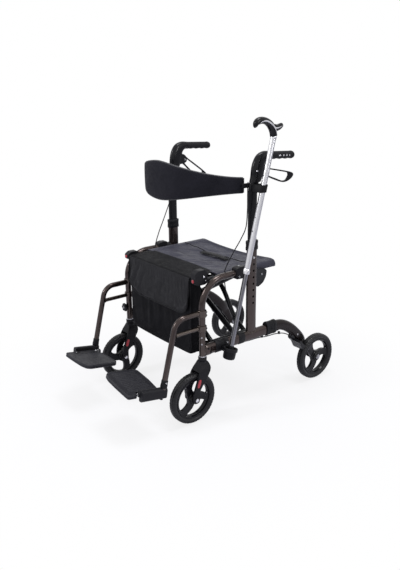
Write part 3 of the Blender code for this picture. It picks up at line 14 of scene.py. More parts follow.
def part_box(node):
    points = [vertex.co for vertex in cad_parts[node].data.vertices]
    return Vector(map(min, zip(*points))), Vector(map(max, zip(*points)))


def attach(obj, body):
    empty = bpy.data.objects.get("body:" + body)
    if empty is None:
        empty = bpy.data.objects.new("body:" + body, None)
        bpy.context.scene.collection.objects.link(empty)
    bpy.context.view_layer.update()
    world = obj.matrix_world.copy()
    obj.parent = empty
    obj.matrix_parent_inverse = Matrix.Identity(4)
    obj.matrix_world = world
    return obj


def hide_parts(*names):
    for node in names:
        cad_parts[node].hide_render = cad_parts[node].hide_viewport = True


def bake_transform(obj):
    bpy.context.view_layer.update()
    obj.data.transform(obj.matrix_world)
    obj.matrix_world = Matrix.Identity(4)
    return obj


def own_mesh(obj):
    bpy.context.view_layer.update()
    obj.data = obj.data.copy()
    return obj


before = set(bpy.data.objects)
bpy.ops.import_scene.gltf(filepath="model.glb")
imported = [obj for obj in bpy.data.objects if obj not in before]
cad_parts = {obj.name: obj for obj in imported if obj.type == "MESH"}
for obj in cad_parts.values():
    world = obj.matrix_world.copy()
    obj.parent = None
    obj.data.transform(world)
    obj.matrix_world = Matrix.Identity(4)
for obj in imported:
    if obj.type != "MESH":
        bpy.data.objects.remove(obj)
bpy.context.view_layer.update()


def middle(node):
    """The middle of a frame node's box."""
    low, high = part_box(node)
    return (low + high) / 2


SHIFT = Vector(((middle("upright_left").x + middle("upright_right").x) / 2,
                middle("height_button_left").y, 0))
SIDES = ("left", "right")
UP = Vector((0, 0, 1))
ACROSS = Vector((1, 0, 0))
ALONG = Vector((0, 1, 0))

# Sizes shared with the frame
SIDE_X = 0.2526
RAIL_Z = 0.281
TUBE_WIDE = 0.025
RAIL_HIGH = 0.043
FRONT_TUBE_Y = -0.244
FRONT_TUBE_R = 0.0125
FRONT_TUBE_TOP = 0.552
UPRIGHT_DEEP = 0.046
UPRIGHT_TOP = 0.629
POST_WIDE = 0.019
POST_DEEP = 0.04
POST_BEND_Z = 0.8618
POST_LEAN = math.radians(18)
HOLE_TOP_Z = 0.6
HOLE_PITCH = 0.026
WHEEL_R = 0.1
TYRE_WIDE = 0.034
REAR_WHEEL_X = 0.286
REAR_WHEEL_Y = 0.35
CASTER_X = 0.25
CASTER_Y = -0.292
FORK_TOP_Z = 0.2437
PIVOT_X = 0.2215
SEAT_RAIL_Z = 0.54
SEAT_RAIL_R = 0.011
SEAT_FRONT = -0.155
SEAT_BACK = 0.143
BAG_HALF = 0.205
BAG_FRONT = -0.262
BAG_BACK = -0.206
BAG_FOOT = 0.256
BAG_TOP = 0.552
HANGER_X = 0.2485
HANGER_TOP_Z = 0.43
STRUT_Z = 0.372
FOOT_HINGE = (0.2285, -0.424, 0.165)
FOOT_TILT = math.radians(10)
FOOT_LIFT = {"left": 7.8, "right": 1.7}
BACKREST_PIN_Z = 0.871
LINK_FACE = 0.2375
CANE_X = 0.298
CANE_FOOT = (-0.1511, 0.241)
CANE_LEAN = math.radians(14.35)
CANE_TUBE_TOP = 0.832
GRIP_START = 0.1
GRIP_Z = 0.9745
GRIP_DROP = math.radians(3.3)
LEVER_PIVOT = (0.064, 0.917)

# Sizes of the looks alone
SEAT_SEAM_Y = 0.031
SEAT_WRAP_X = 0.201
STRAP_X, STRAP_Y = 0.011, 0.015
STRAP_HALF = 0.082
FLOOR_GLOW = 0.8


def surface(name, colour, roughness, metallic=0.0, blotch=0.12, blotch_scale=14.0, rough_vary=0.06,
            grain=0.0, grain_scale=900.0, worn=None, worn_from=0.53, weave=0.0, thread=0.0012, coat=0.0,
            coat_rough=0.12, sheen=0.0, specular=0.5, streak=None):
    """A Principled material with drifting colour and gloss, a fine grain or weave, and worn edges."""
    made = bpy.data.materials.new(name)
    made.use_nodes = True
    nodes, link = made.node_tree.nodes, made.node_tree.links.new
    shader = nodes["Principled BSDF"]
    shader.inputs["Metallic"].default_value = metallic
    shader.inputs["Specular IOR Level"].default_value = specular
    shader.inputs["Coat Weight"].default_value = coat
    shader.inputs["Coat Roughness"].default_value = coat_rough
    shader.inputs["Sheen Weight"].default_value = sheen
    shader.inputs["Sheen Roughness"].default_value = 0.45
    place = nodes.new("ShaderNodeTexCoord")

    def cloud(scale, detail=3.0, stretch=None):
        field = nodes.new("ShaderNodeTexNoise")
        field.inputs["Scale"].default_value = scale
        field.inputs["Detail"].default_value = detail
        source = place.outputs["Object"]
        if stretch:
            shape = nodes.new("ShaderNodeMapping")
            shape.inputs["Scale"].default_value = stretch
            link(source, shape.inputs["Vector"])
            source = shape.outputs["Vector"]
        link(source, field.inputs["Vector"])
        return field.outputs["Fac"]

    def ranged(value, low, high, start=0.3, end=0.7):
        step = nodes.new("ShaderNodeMapRange")
        for key, number in (("From Min", start), ("From Max", end), ("To Min", low), ("To Max", high)):
            step.inputs[key].default_value = number
        link(value, step.inputs["Value"])
        return step.outputs["Result"]

    def mixed(share, first, second):
        mix = nodes.new("ShaderNodeMix")
        mix.data_type = "RGBA"
        link(share, mix.inputs["Factor"])
        for key, value in (("A", first), ("B", second)):
            socket = next(s for s in mix.inputs if s.name == key and s.type == "RGBA")
            if isinstance(value, tuple):
                socket.default_value = (*value, 1.0)
            else:
                link(value, socket)
        return next(s for s in mix.outputs if s.type == "RGBA")

    dark = tuple(c * (1 - blotch) for c in colour)
    light = tuple(min(1.0, c * (1 + blotch)) for c in colour)
    tone = mixed(ranged(cloud(blotch_scale, stretch=streak), 0.0, 1.0), dark, light)
    if worn:
        edge = nodes.new("ShaderNodeNewGeometry").outputs["Pointiness"]
        tone = mixed(ranged(edge, 0.0, 0.7, worn_from, worn_from + 0.08), tone, worn)
    height = None
    if grain:
        height = ranged(cloud(grain_scale, 2.0), 0.0, grain)
    if weave:
        crossed = []
        for direction in ("X", "Y"):
            thread_wave = nodes.new("ShaderNodeTexWave")
            thread_wave.bands_direction = direction
            thread_wave.inputs["Scale"].default_value = math.tau / (20 * thread)
            thread_wave.inputs["Distortion"].default_value = 0.6
            thread_wave.inputs["Detail Scale"].default_value = 2.0
            link(place.outputs["UV"], thread_wave.inputs["Vector"])
            crossed.append(thread_wave.outputs["Fac"])
        woven = nodes.new("ShaderNodeMath")
        woven.operation = "MULTIPLY"
        link(crossed[0], woven.inputs[0])
        link(crossed[1], woven.inputs[1])
        # Painted shade: the colour darkens where the weave's bump is lowest, in the pits between the
        # threads.
        shade = tuple(c * 0.72 for c in colour)
        tone = mixed(ranged(woven.outputs[0], 0.0, 0.45, 0.0, 1.0), tone, shade)
        height = ranged(woven.outputs[0], weave, 0.0, 0.0, 1.0)
    link(tone, shader.inputs["Base Color"])
    link(ranged(cloud(blotch_scale * 3), roughness - rough_vary, roughness + rough_vary),
         shader.inputs["Roughness"])
    if height:
        bump = nodes.new("ShaderNodeBump")
        bump.inputs["Distance"].default_value = 1.0
        bump.inputs["Strength"].default_value = 0.6
        link(height, bump.inputs["Height"])
        link(bump.outputs["Normal"], shader.inputs["Normal"])
    return made


BRONZE = surface("bronze_metallic", (0.045, 0.032, 0.03), 0.21, 0.85, grain=0.00005,
                 grain_scale=1500, worn=(0.12, 0.1, 0.085), coat=0.3, coat_rough=0.06)
DARK_BRONZE = surface("dark_bronze", (0.015, 0.0115, 0.012), 0.26, 0.5, grain=0.00005,
                      worn=(0.06, 0.055, 0.05), coat=0.15, coat_rough=0.1, specular=0.15)
BLACK_COAT = surface("black_coat", (0.0075, 0.0075, 0.0095), 0.27, 0.15, grain=0.00004,
                     worn=(0.035, 0.035, 0.04), coat=0.15, coat_rough=0.08, specular=0.12)
PLASTIC = surface("moulded_plastic", (0.0085, 0.0085, 0.0105), 0.4, grain=0.0001,
                  grain_scale=1100, worn=(0.03, 0.03, 0.035), specular=0.13)
GLOSS = surface("gloss_plastic", (0.007, 0.007, 0.009), 0.26, coat=0.18, coat_rough=0.08,
                grain=0.00003, worn=(0.03, 0.03, 0.035), specular=0.12)
STEP_PLASTIC = surface("tread_plastic", (0.015, 0.015, 0.02), 0.5, grain=0.0002,
                       grain_scale=700, worn=(0.07, 0.07, 0.08), blotch=0.18, specular=0.22)
RUBBER = surface("soft_rubber", (0.009, 0.009, 0.011), 0.55, grain=0.0001, grain_scale=800,
                 worn=(0.035, 0.035, 0.04), blotch=0.2, specular=0.14)
TYRE = surface("tyre_rubber", (0.009, 0.009, 0.011), 0.38, grain=0.00012, grain_scale=600,
               worn=(0.03, 0.03, 0.03), blotch=0.25, blotch_scale=30, specular=0.26)
ZINC = surface("zinc_steel", (0.34, 0.34, 0.36), 0.3, 1.0, grain=0.00004, blotch=0.1,
               worn=(0.6, 0.6, 0.62))
SILVER = surface("drawn_silver", (0.6, 0.6, 0.63), 0.26, 1.0, grain=0.00001, blotch=0.04,
                 streak=(1.0, 1.0, 0.03), blotch_scale=500)
# Painted reflection: the lower cane tube's silver is darkened to stand for the dark surroundings that its
# polished face reflects.
SILVER_PAINTED_DARK = surface("smoked_chrome", (0.19, 0.19, 0.21), 0.12, 1.0, grain=0.00001, blotch=0.06,
                 streak=(1.0, 1.0, 0.03), blotch_scale=500)
CHROME = surface("polished_chrome", (0.72, 0.72, 0.75), 0.08, 1.0, blotch=0.04, rough_vary=0.03)
RED = surface("cherry_plastic", (0.34, 0.006, 0.02), 0.32, grain=0.00005, coat=0.2,
              worn=(0.55, 0.05, 0.06), blotch=0.08)
# Pale colour: the real white height button, and painted highlights on the grip.
PALE_AND_GLINT = surface("pale_plastic", (0.62, 0.62, 0.65), 0.4, grain=0.00005, blotch=0.06)
SEAT = surface("seat_nylon", (0.036, 0.036, 0.055), 0.5, weave=0.0003, thread=0.0016,
               blotch=0.16, blotch_scale=10, sheen=0.08, rough_vary=0.1, specular=0.16)
BAG = surface("bag_nylon", (0.007, 0.007, 0.0085), 0.62, weave=0.0003, thread=0.0014,
              blotch=0.25, blotch_scale=12, sheen=0.0, rough_vary=0.08, specular=0.06)
FLAP = surface("flap_nylon", (0.0175, 0.0175, 0.02), 0.56, weave=0.0003, thread=0.0014,
               blotch=0.22, blotch_scale=16, sheen=0.02, rough_vary=0.1, specular=0.1)
PAD = surface("pad_nylon", (0.0125, 0.0125, 0.018), 0.6, weave=0.0004, thread=0.0018,
              blotch=0.18, blotch_scale=18, sheen=0.02, rough_vary=0.08, specular=0.08)
BINDING = surface("binding_tape", (0.01, 0.01, 0.012), 0.55, grain=0.0002, grain_scale=2200,
                  sheen=0.05, blotch=0.2, specular=0.1)
PIPING = surface("edge_piping", (0.028, 0.028, 0.034), 0.5, grain=0.0002, grain_scale=2200,
                 sheen=0.1, blotch=0.2)
THREAD = surface("sewing_thread", (0.014, 0.014, 0.018), 0.55, grain=0.00005, sheen=0.05,
                 specular=0.2)
WEBBING = surface("webbing", (0.0075, 0.0075, 0.009), 0.52, weave=0.0005, thread=0.0022,
                  blotch=0.2, sheen=0.0, specular=0.1)


# Shapes: a shape is a list of points and a list of faces
def rings(loops, looped=False):
    """Faces through rings of equal length: capped at both ends, or looped."""
    count = len(loops[0])
    points = [Vector(p) for loop in loops for p in loop]
    faces = []
    for k in range(len(loops) if looped else len(loops) - 1):
        a, b = k * count, (k + 1) % len(loops) * count
        for i in range(count):
            j = (i + 1) % count
            faces.append((a + i, a + j, b + j, b + i))
    if not looped:
        faces.append(tuple(range(count)))
        faces.append(tuple(range(len(points) - count, len(points))))
    return points, faces


def merge(*shapes):
    """Several shapes as one."""
    points, faces = [], []
    for more, around in shapes:
        start = len(points)
        points += more
        faces += [tuple(i + start for i in face) for face in around]
    return points, faces


def moved(shape, matrix):
    """A shape put through a matrix."""
    return [matrix @ p for p in shape[0]], shape[1]


def oval(half_u, half_v, sides=40, power=2.4):
    """An outline between an ellipse (power 2) and a rectangle."""
    points = []
    for i in range(sides):
        angle = math.tau * (i + 0.5) / sides
        c, s = math.cos(angle), math.sin(angle)
        points.append((half_u * math.copysign(abs(c) ** (2 / power), c),
                       half_v * math.copysign(abs(s) ** (2 / power), s)))
    return points


def circle(radius, sides=32):
    return oval(radius, radius, sides, 2.0)


def blend(a, b, c, d, t):
    """Catmull-Rom point between b and c."""
    return tuple(0.5 * (2 * q + (r - p) * t + (2 * p - 5 * q + 4 * r - s) * t * t
                        + (3 * q - p - 3 * r + s) * t ** 3) for p, q, r, s in zip(a, b, c, d))


def smooth(points, steps=6, closed=False):
    """A smooth line through points of any number of values."""
    points = [tuple(p) for p in points]
    count = len(points)
    out = []
    for i in range(count if closed else count - 1):
        b, c = points[i], points[(i + 1) % count]
        if closed:
            a, d = points[i - 1], points[(i + 2) % count]
        else:
            a = points[i - 1] if i else tuple(2 * q - r for q, r in zip(b, c))
            d = points[i + 2] if i + 2 < count else tuple(2 * r - q for q, r in zip(b, c))
        out += [blend(a, b, c, d, k / steps) for k in range(steps)]
    if not closed:
        out.append(points[-1])
    return out


def rounded(points, radius, steps=5):
    """A closed outline with its corners rounded off."""
    points = [Vector(p) for p in points]
    out = []
    for i, corner in enumerate(points):
        a = points[i - 1] - corner
        b = points[(i + 1) % len(points)] - corner
        reach = min(radius, a.length * 0.45, b.length * 0.45)
        start, end = corner + a.normalized() * reach, corner + b.normalized() * reach
        for k in range(steps + 1):
            t = k / steps
            out.append(tuple(start.lerp(corner, t).lerp(corner.lerp(end, t), t)))
    return out


def bent(points, radius, steps=14):
    """An open path with each inner corner turned into an arc."""
    points = [Vector(p) for p in points]
    path = [points[0]]
    for before, corner, after in zip(points, points[1:], points[2:]):
        a, b = (before - corner).normalized(), (after - corner).normalized()
        half = a.angle(b) / 2
        reach = radius / math.tan(half)
        centre = corner + (a + b).normalized() * (radius / math.sin(half))
        start, end = corner + a * reach - centre, corner + b * reach - centre
        path += [centre + start.slerp(end, i / steps) * radius for i in range(steps + 1)]
    path.append(points[-1])
    return path


def sweep(path, outline, side=None, looped=False):
    """An outline, or one for each share of the way, carried along a path."""
    path = [Vector(p) for p in path]
    count = len(path)
    across = side
    loops = []
    for i, spot in enumerate(path):
        before = path[i - 1] if i or looped else spot
        after = path[(i + 1) % count] if i < count - 1 or looped else spot
        ahead = (after - before).normalized()
        if side is None:
            across = across or ahead.orthogonal()
            across = (across - ahead * across.dot(ahead)).normalized()
        normal = ahead.cross(across).normalized()
        section = outline(i / (count - 1)) if callable(outline) else outline
        loops.append([spot + across * u + normal * v for u, v in section])
    return rings(loops, looped)


def lathe(centre, axis, profile, sides=32, looped=False, reach=None):
    """A turned shape. The profile's pairs are radius and height; reach scales a ring's radius by angle."""
    centre, axis = Vector(centre), Vector(axis).normalized()
    u = (UP if abs(axis.z) < 0.9 else ACROSS).cross(axis).normalized()
    v = axis.cross(u)
    loops = []
    for k, (radius, height) in enumerate(profile):
        loop = []
        for i in range(sides):
            angle = math.tau * i / sides
            r = radius * (reach(k, angle) if reach else 1.0)
            loop.append(centre + axis * height + (u * math.cos(angle) + v * math.sin(angle)) * r)
        loops.append(loop)
    return rings(loops, looped)


def flipped(profile):
    """The other half of a profile that is the same on both sides of its middle."""
    return [(radius, -height) for radius, height in reversed(profile)]


def rod(start, end, radius, sides=28, ease=0.0008):
    """A round bar with eased ends."""
    start, end = Vector(start), Vector(end)
    long = (end - start).length
    ease = min(ease, radius * 0.4, long * 0.4)
    return lathe(start, end - start, [(radius - ease, 0), (radius, ease), (radius, long - ease),
                                      (radius - ease, long)], sides)


def slab(outline, low, high):
    """An outline of (y, z) points carried along X."""
    return rings([[Vector((x, y, z)) for y, z in outline] for x in (low, high)])


def box(low, high, radius=0.002):
    """A block between two corners, its edges along X rounded."""
    corners = [(low[1], low[2]), (high[1], low[2]), (high[1], high[2]), (low[1], high[2])]
    return slab(rounded(corners, radius), low[0], high[0])


def hexed(angle, flat=0.866):
    """Radius of a hexagon at an angle, as a share of its corner radius."""
    turn = (angle % (math.pi / 3)) - math.pi / 6
    return flat / math.cos(turn)


def nut_at(*steps):
    """A reach for lathe() that makes hexagons of some of its rings."""
    return lambda k, angle: hexed(angle) * 1.08 if k in steps else 1.0


def cuff(stations, z, half_u, half_v, ease, sides=40, power=2.4):
    """A sleeve round a tube that runs along Y, a little narrower at both ends."""
    def outline(t):
        inset = ease * (2 * t - 1) ** 2
        return oval(half_u - inset, half_v - inset, sides, power)

    return sweep([(SIDE_X, y, z) for y in stations], outline, ACROSS)


def tapered(stations, x, power=2.4):
    """A smooth body through stations of y, z, half width and half thickness."""
    line = smooth(stations, 6)
    loops = []
    for i, (y, z, wide, high) in enumerate(line):
        a, b = line[max(i - 1, 0)], line[min(i + 1, len(line) - 1)]
        ahead = Vector((0, b[0] - a[0], b[1] - a[1])).normalized()
        normal = ahead.cross(ACROSS).normalized()
        loops.append([Vector((x + u, y, z)) + normal * v for u, v in oval(wide, high, 36, power)])
    return rings(loops)


def bolt(spot, axis, radius, tall, kind="socket"):
    """A screw head: a domed one with a hexagon socket, or a plain nut on a washer."""
    if kind == "socket":
        profile = [(radius, -0.001), (radius, tall * 0.45), (radius * 0.86, tall * 0.85),
                   (radius * 0.62, tall), (radius * 0.55, tall), (radius * 0.55, tall * 0.35)]
        return lathe(spot, axis, profile, 24, reach=lambda k, a: hexed(a) if k > 3 else 1.0)
    profile = [(radius * 1.35, -0.001), (radius * 1.35, tall * 0.22), (radius * 1.1, tall * 0.24),
               (radius * 1.1, tall * 0.85), (radius * 0.92, tall), (radius * 0.5, tall),
               (radius * 0.5, tall * 1.3), (radius * 0.42, tall * 1.35)]
    return lathe(spot, axis, profile, 24, reach=nut_at(2, 3, 4))


# Pieces
def object_of(name, shape, finish, side="left", sharp=32, uv=None):
    """The object of a shape drawn for the left side, mirrored where asked and moved into the frame."""
    sign = 1 if side == "left" else -1
    data = bpy.data.meshes.new(name)
    data.from_pydata([(sign * p[0] + SHIFT.x, p[1] + SHIFT.y, p[2]) for p in shape[0]], [], shape[1])
    mesh = bmesh.new()
    mesh.from_mesh(data)
    bmesh.ops.recalc_face_normals(mesh, faces=mesh.faces)
    if uv:
        layer = mesh.loops.layers.uv.new("metres")
        mesh.verts.ensure_lookup_table()
        for face in mesh.faces:
            for corner in face.loops:
                corner[layer].uv = uv[corner.vert.index]
    mesh.to_mesh(data)
    mesh.free()
    data.materials.append(finish)
    data.shade_smooth()
    data.set_sharp_from_angle(angle=math.radians(sharp))
    made = bpy.data.objects.new(name, data)
    bpy.context.scene.collection.objects.link(made)
    return made


def soften(made, width, segments=2, angle=38):
    """Rounds the edges that are sharper than an angle."""
    edge = made.modifiers.new("soft_edges", "BEVEL")
    edge.width = width
    edge.segments = segments
    edge.limit_method = "ANGLE"
    edge.angle_limit = math.radians(angle)
    edge.harden_normals = True
    return made


def settle(made, body, replaces=()):
    """Rides a piece on its body, or bakes it in place for a tuple, and hides the parts it replaces."""
    if isinstance(body, tuple):
        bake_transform(made)
    else:
        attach(made, body)
    if replaces:
        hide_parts(*replaces)
    return made


def piece(name, shape, finish, body, side="left", replaces=(), bevel=0.0, sharp=32, uv=None, cuts=()):
    """Makes an object of a shape, cuts and softens it, and settles it on its body."""
    made = object_of(name, shape, finish, side, sharp, uv)
    for cut in cuts:
        carve(made, cut, side)
    if bevel:
        soften(made, bevel)
    return settle(made, body, replaces)


def adder(body, side):
    """A piece() for one body and side, with the side at the end of each name."""
    def add(name, shape, finish, node=None, **more):
        return piece(f"{name}_{side}", shape, finish, body, side, [f"{node}_{side}"] if node else (), **more)

    return add


def face_name(sign):
    """The face of a piece that looks away from the chair, or the one that looks in."""
    return "outer" if sign > 0 else "inner"


def carve(made, shape, side="left", operation="DIFFERENCE"):
    """Cuts a shape out of an object's mesh, keeps only what lies in it, or joins it on."""
    tool = object_of("cutter", shape, made.data.materials[0], side)
    step = made.modifiers.new("cut", "BOOLEAN")
    step.operation = operation
    step.solver = "EXACT"
    step.object = tool
    bpy.context.view_layer.update()
    cut = bpy.data.meshes.new_from_object(made.evaluated_get(bpy.context.evaluated_depsgraph_get()))
    made.modifiers.remove(step)
    made.data = cut
    cut.shade_smooth()
    cut.set_sharp_from_angle(angle=math.radians(32))
    bpy.data.objects.remove(tool, do_unlink=True)
    return made


SCREWS = {}


def screw(body, side, spot, axis, radius, tall, kind="socket", finish=ZINC):
    """Puts a screw head aside, to be joined with the others of its body."""
    shape = bolt(Vector(spot), Vector(axis), radius, tall, kind)
    SCREWS.setdefault((body, side, finish.name), []).append(shape)


def make_screws():
    """One piece for each body and finish that has screws."""
    for (body, side, finish), shapes in SCREWS.items():
        piece(f"screws_{body}_{finish}", merge(*shapes), bpy.data.materials[finish], body, side)


# Side frames
def base_rail(side):
    """Oval tube along the floor side, with lugs, pivot tube, socket and cuffs."""
    body = f"{side}_frame"
    add = adder(body, side)
    path = [(SIDE_X, FRONT_TUBE_Y + 0.004 + 0.02 * i, RAIL_Z) for i in range(18)]
    path.append((SIDE_X, 0.119, RAIL_Z))
    rail = sweep(path, oval(TUBE_WIDE / 2, RAIL_HIGH / 2, 48), ACROSS)
    low_x, high_x = PIVOT_X - 0.012, SIDE_X - 0.009
    lugs = []
    for low, high in ((-0.1966, -0.1846), (0.0406, 0.0526)):
        lugs.append(box((low_x, low, RAIL_Z - 0.013), (high_x, high, RAIL_Z + 0.013), 0.005))
    lugs.append(rod((PIVOT_X, -0.199, RAIL_Z), (PIVOT_X, 0.055, RAIL_Z), 0.01))
    bead_z, bead_drop = 0.3026, 0.01025
    bead = [(SIDE_X + u, v, bead_z - bead_drop * (u / 0.0125) ** 2)
            for u, v in oval(0.0122, UPRIGHT_DEEP / 2, 40)]
    add("base_rail_tube", rail, BRONZE, "base_rail")
    add("base_rail_lugs", merge(*lugs), BRONZE, bevel=0.001)
    add("weld_beads", sweep(bead, circle(0.0021, 8), None, True), BRONZE)
    socket = cuff((-0.2345, -0.232, -0.208, -0.206), RAIL_Z, 0.014, 0.0232, 0.0008)
    clamp = cuff((-0.187, -0.185, -0.15, -0.148), RAIL_Z, 0.0148, 0.0242, 0.001)
    guide = cuff((-0.071, -0.069, -0.041, -0.039), RAIL_Z, 0.014, 0.023, 0.001)
    add("rail_socket", socket, BRONZE)
    add("rail_clamps", merge(clamp, guide), PLASTIC)
    for out, y, z, radius, tall in ((0.0136, -0.225, 0.288, 0.0038, 0.0024),
                                    (0.0136, -0.214, 0.272, 0.0038, 0.0024),
                                    (TUBE_WIDE / 2, 0.0843, 0.2816, 0.0042, 0.0028),
                                    (0.0142, -0.168, 0.281, 0.004, 0.0026)):
        screw(body, side, (SIDE_X + out, y, z), ACROSS, radius, tall, finish=BLACK_COAT)


def upright(side):
    """Hollow oval upright with its row of holes, and the quarter plate behind it."""
    body = f"{side}_frame"
    add = adder(body, side)
    outer = oval(TUBE_WIDE / 2, UPRIGHT_DEEP / 2, 48)
    inner = oval(TUBE_WIDE / 2 - 0.0025, UPRIGHT_DEEP / 2 - 0.0025, 48)
    loops = [[(SIDE_X + u, v, z) for u, v in outline] for outline, z in (
        (inner, 0.3228), (inner, UPRIGHT_TOP), (outer, UPRIGHT_TOP), (outer, 0.299))]
    face = SIDE_X + TUBE_WIDE / 2
    drills = []
    for i in range(8):
        z = HOLE_TOP_Z - i * HOLE_PITCH
        drills.append(rod((face - 0.005, 0, z), (face + 0.004, 0, z), 0.0045, 24, 0.0))
    add("upright_tube", rings(loops), BRONZE, "upright", bevel=0.0004, cuts=[merge(*drills)])
    back = UPRIGHT_DEEP / 2
    corners = [(back - 0.0018, 0.478), (0.034, 0.474), (0.06, 0.487), (0.074, 0.508), (0.0785, 0.532),
               (0.066, 0.543), (back - 0.0018, 0.546)]
    plate = slab(smooth(rounded(corners, 0.006, 2), 3, True), SIDE_X - 0.004, SIDE_X + 0.004)
    add("catch_plate", plate, BLACK_COAT, bevel=0.0018)
    for sign in (1, -1):
        screw(body, side, (SIDE_X + sign * 0.004, 0.051, 0.523), ACROSS * sign, 0.0042, 0.0026)


def front_tube(side):
    """Front tube bent back to the upright, with its clamp and bearing."""
    body = f"{side}_frame"
    add = adder(body, side)
    path = bent([(SIDE_X, FRONT_TUBE_Y, FORK_TOP_Z + 0.0006), (SIDE_X, FRONT_TUBE_Y, FRONT_TUBE_TOP),
                 (SIDE_X, 0.002 - UPRIGHT_DEEP / 2, FRONT_TUBE_TOP)], 0.1, 24)
    add("front_tube_bend", sweep(path, circle(FRONT_TUBE_R, 36), ACROSS), BRONZE, "front_tube")
    corners = [(-0.089, 0.531), (-0.044, 0.529), (-0.044, 0.575), (-0.066, 0.577), (-0.089, 0.572)]
    clamp = slab(rounded(corners, 0.006), SIDE_X - 0.0142, SIDE_X + 0.016)
    band = cuff((-0.044, -0.042, -0.026, -0.0236), FRONT_TUBE_TOP, 0.015, 0.015, 0.0008, 32, 2.0)
    add("tube_clamp", clamp, PLASTIC, bevel=0.0022)
    add("tube_band", band, PLASTIC)
    for y, z in ((-0.077, 0.5405), (-0.055, 0.564)):
        screw(body, side, (SIDE_X + 0.016, y, z), ACROSS, 0.0042, 0.003)
    screw(body, side, (SIDE_X, -0.066, 0.5775), UP, 0.004, 0.0026)
    ring = lathe((SIDE_X, FRONT_TUBE_Y, 0), UP, [(0.0128, 0.2452), (0.016, 0.2452), (0.0163, 0.247),
                                                 (0.0163, 0.256), (0.015, 0.2585), (0.0128, 0.259)], 40)
    add("bearing_cup", ring, PLASTIC)
    shine = lathe((SIDE_X, FRONT_TUBE_Y, 0), UP, [(0.0128, 0.259), (0.014, 0.2592), (0.014, 0.2622),
                                                  (0.0128, 0.2628)], 40)
    add("bearing_trim", shine, ZINC)
    if side == "left":
        for z in (0.312, 0.338):
            screw(body, side, (SIDE_X + 0.0088, FRONT_TUBE_Y - 0.0088, z), (1, -1, 0), 0.0034, 0.0022)


def rear_leg(side):
    """Arched leg with its collar on the rail, brake guide and axle."""
    body = f"{side}_frame"
    add = adder(body, side)
    stations = [(0.128, 0.284, 0.0152, 0.0242), (0.137, 0.2835, 0.015, 0.024), (0.158, 0.283, 0.015, 0.022),
                (0.18, 0.2765, 0.015, 0.022), (0.205, 0.264, 0.015, 0.022), (0.23, 0.246, 0.015, 0.022),
                (0.252, 0.2265, 0.015, 0.022), (0.276, 0.202, 0.0148, 0.022), (0.294, 0.18, 0.011, 0.021),
                (0.306, 0.162, 0.007, 0.018), (0.33, 0.126, 0.007, 0.016), (0.35, 0.1, 0.007, 0.0155),
                (0.36, 0.0855, 0.0065, 0.0085), (0.3618, 0.0832, 0.0055, 0.004)]
    add("rear_leg_shell", tapered(stations, SIDE_X), DARK_BRONZE, "rear_leg", sharp=40)
    bands = []
    for y, wide, high in ((0.079, 0.016, 0.0283), (0.0805, 0.017, 0.0295), (0.089, 0.017, 0.0295),
                          (0.09, 0.016, 0.0285), (0.118, 0.016, 0.0285), (0.119, 0.017, 0.0295),
                          (0.13, 0.017, 0.0295), (0.133, 0.0155, 0.0262)):
        bands.append([(SIDE_X + u, y, 0.2845 + v) for u, v in oval(wide, high, 44)])
    add("leg_collar", rings(bands), PLASTIC)
    screw(body, side, (SIDE_X + 0.016, 0.104, 0.286), ACROSS, 0.004, 0.0026, finish=BLACK_COAT)
    screw(body, side, (SIDE_X + 0.0148, 0.2577, 0.2167), ACROSS, 0.004, 0.0026)
    corners = [(-0.023, -0.014), (-0.0006, -0.014), (-0.0006, 0.0125), (-0.015, 0.0125), (-0.023, 0.006)]
    lug = shoe_slab(SIDE_X - 0.0095, SIDE_X + 0.0095, corners)
    pin = rod(shoe_point(SIDE_X, -0.004, 0.0062), shoe_point(SIDE_X, 0.018, 0.0062), 0.0028, 16)
    add("brake_guide", merge(lug, pin), BLACK_COAT, bevel=0.0012)
    axle = lathe((0, REAR_WHEEL_Y, WHEEL_R), ACROSS,
                 [(0.0075, 0.237), (0.0085, 0.238), (0.0085, 0.242), (0.011, 0.2424), (0.011, 0.2453),
                  (0.0044, 0.2453), (0.0044, 0.2599), (0.008, 0.2599), (0.008, 0.2684), (0.0044, 0.2684),
                  (0.0044, 0.3036), (0.0105, 0.3036), (0.0105, 0.3052), (0.0078, 0.3053), (0.0078, 0.3078),
                  (0.007, 0.3085), (0.0042, 0.3085), (0.0042, 0.3098), (0.003, 0.3101)], 36,
                 reach=nut_at(13, 14, 15))
    add("rear_axle_bolt", axle, ZINC, "rear_axle")


# Brakes
SHOE_TOP = (0.244, 0.2022)
SHOE_SLOPE = math.radians(48)


def shoe_point(x, ahead, below):
    """A point given along the leg's lower end and below it, where the brake shoe slides."""
    c, s = math.cos(SHOE_SLOPE), math.sin(SHOE_SLOPE)
    return Vector((x, SHOE_TOP[0] + ahead * c - below * s, SHOE_TOP[1] - ahead * s - below * c))


def shoe_slab(low, high, outline):
    """An outline in the shoe's own plane carried along X."""
    return rings([[shoe_point(x, a, b) for a, b in outline] for x in (low, high)])


def brake_shoe(side):
    """Block that slides down towards the tyre, its face round like the tread."""
    pressed = 0.0026 if side == "right" else 0.0
    face = WHEEL_R / math.cos(math.pi / 24) + 0.003
    loops = []
    for x in (SIDE_X - 0.008, REAR_WHEEL_X + 0.014):
        loop = [shoe_point(x, a, b) for a, b in ((0, 0), (0.0155, 0.0), (0.04, 0.0002))]
        for step in range(7):
            angle = math.radians(139.5 + 1.5 * step)
            loop.append(Vector((x, REAR_WHEEL_Y + face * math.cos(angle), WHEEL_R + face * math.sin(angle))))
        loop += [shoe_point(x, a, b) for a, b in ((0.037, 0.019), (0.012, 0.0125), (0, 0.0115))]
        loops.append(loop)
    move = shoe_point(0, pressed, 0) - shoe_point(0, 0, 0)
    shape = moved(rings(loops), Matrix.Translation(move))
    hole = rod(shoe_point(SIDE_X, -0.01, 0.0062), shoe_point(SIDE_X, 0.022, 0.0062), 0.0034, 16)
    piece(f"brake_block_{side}", shape, BLACK_COAT, f"brake_shoe_{side}", side, [f"brake_shoe_{side}"],
          bevel=0.0009, cuts=[hole])
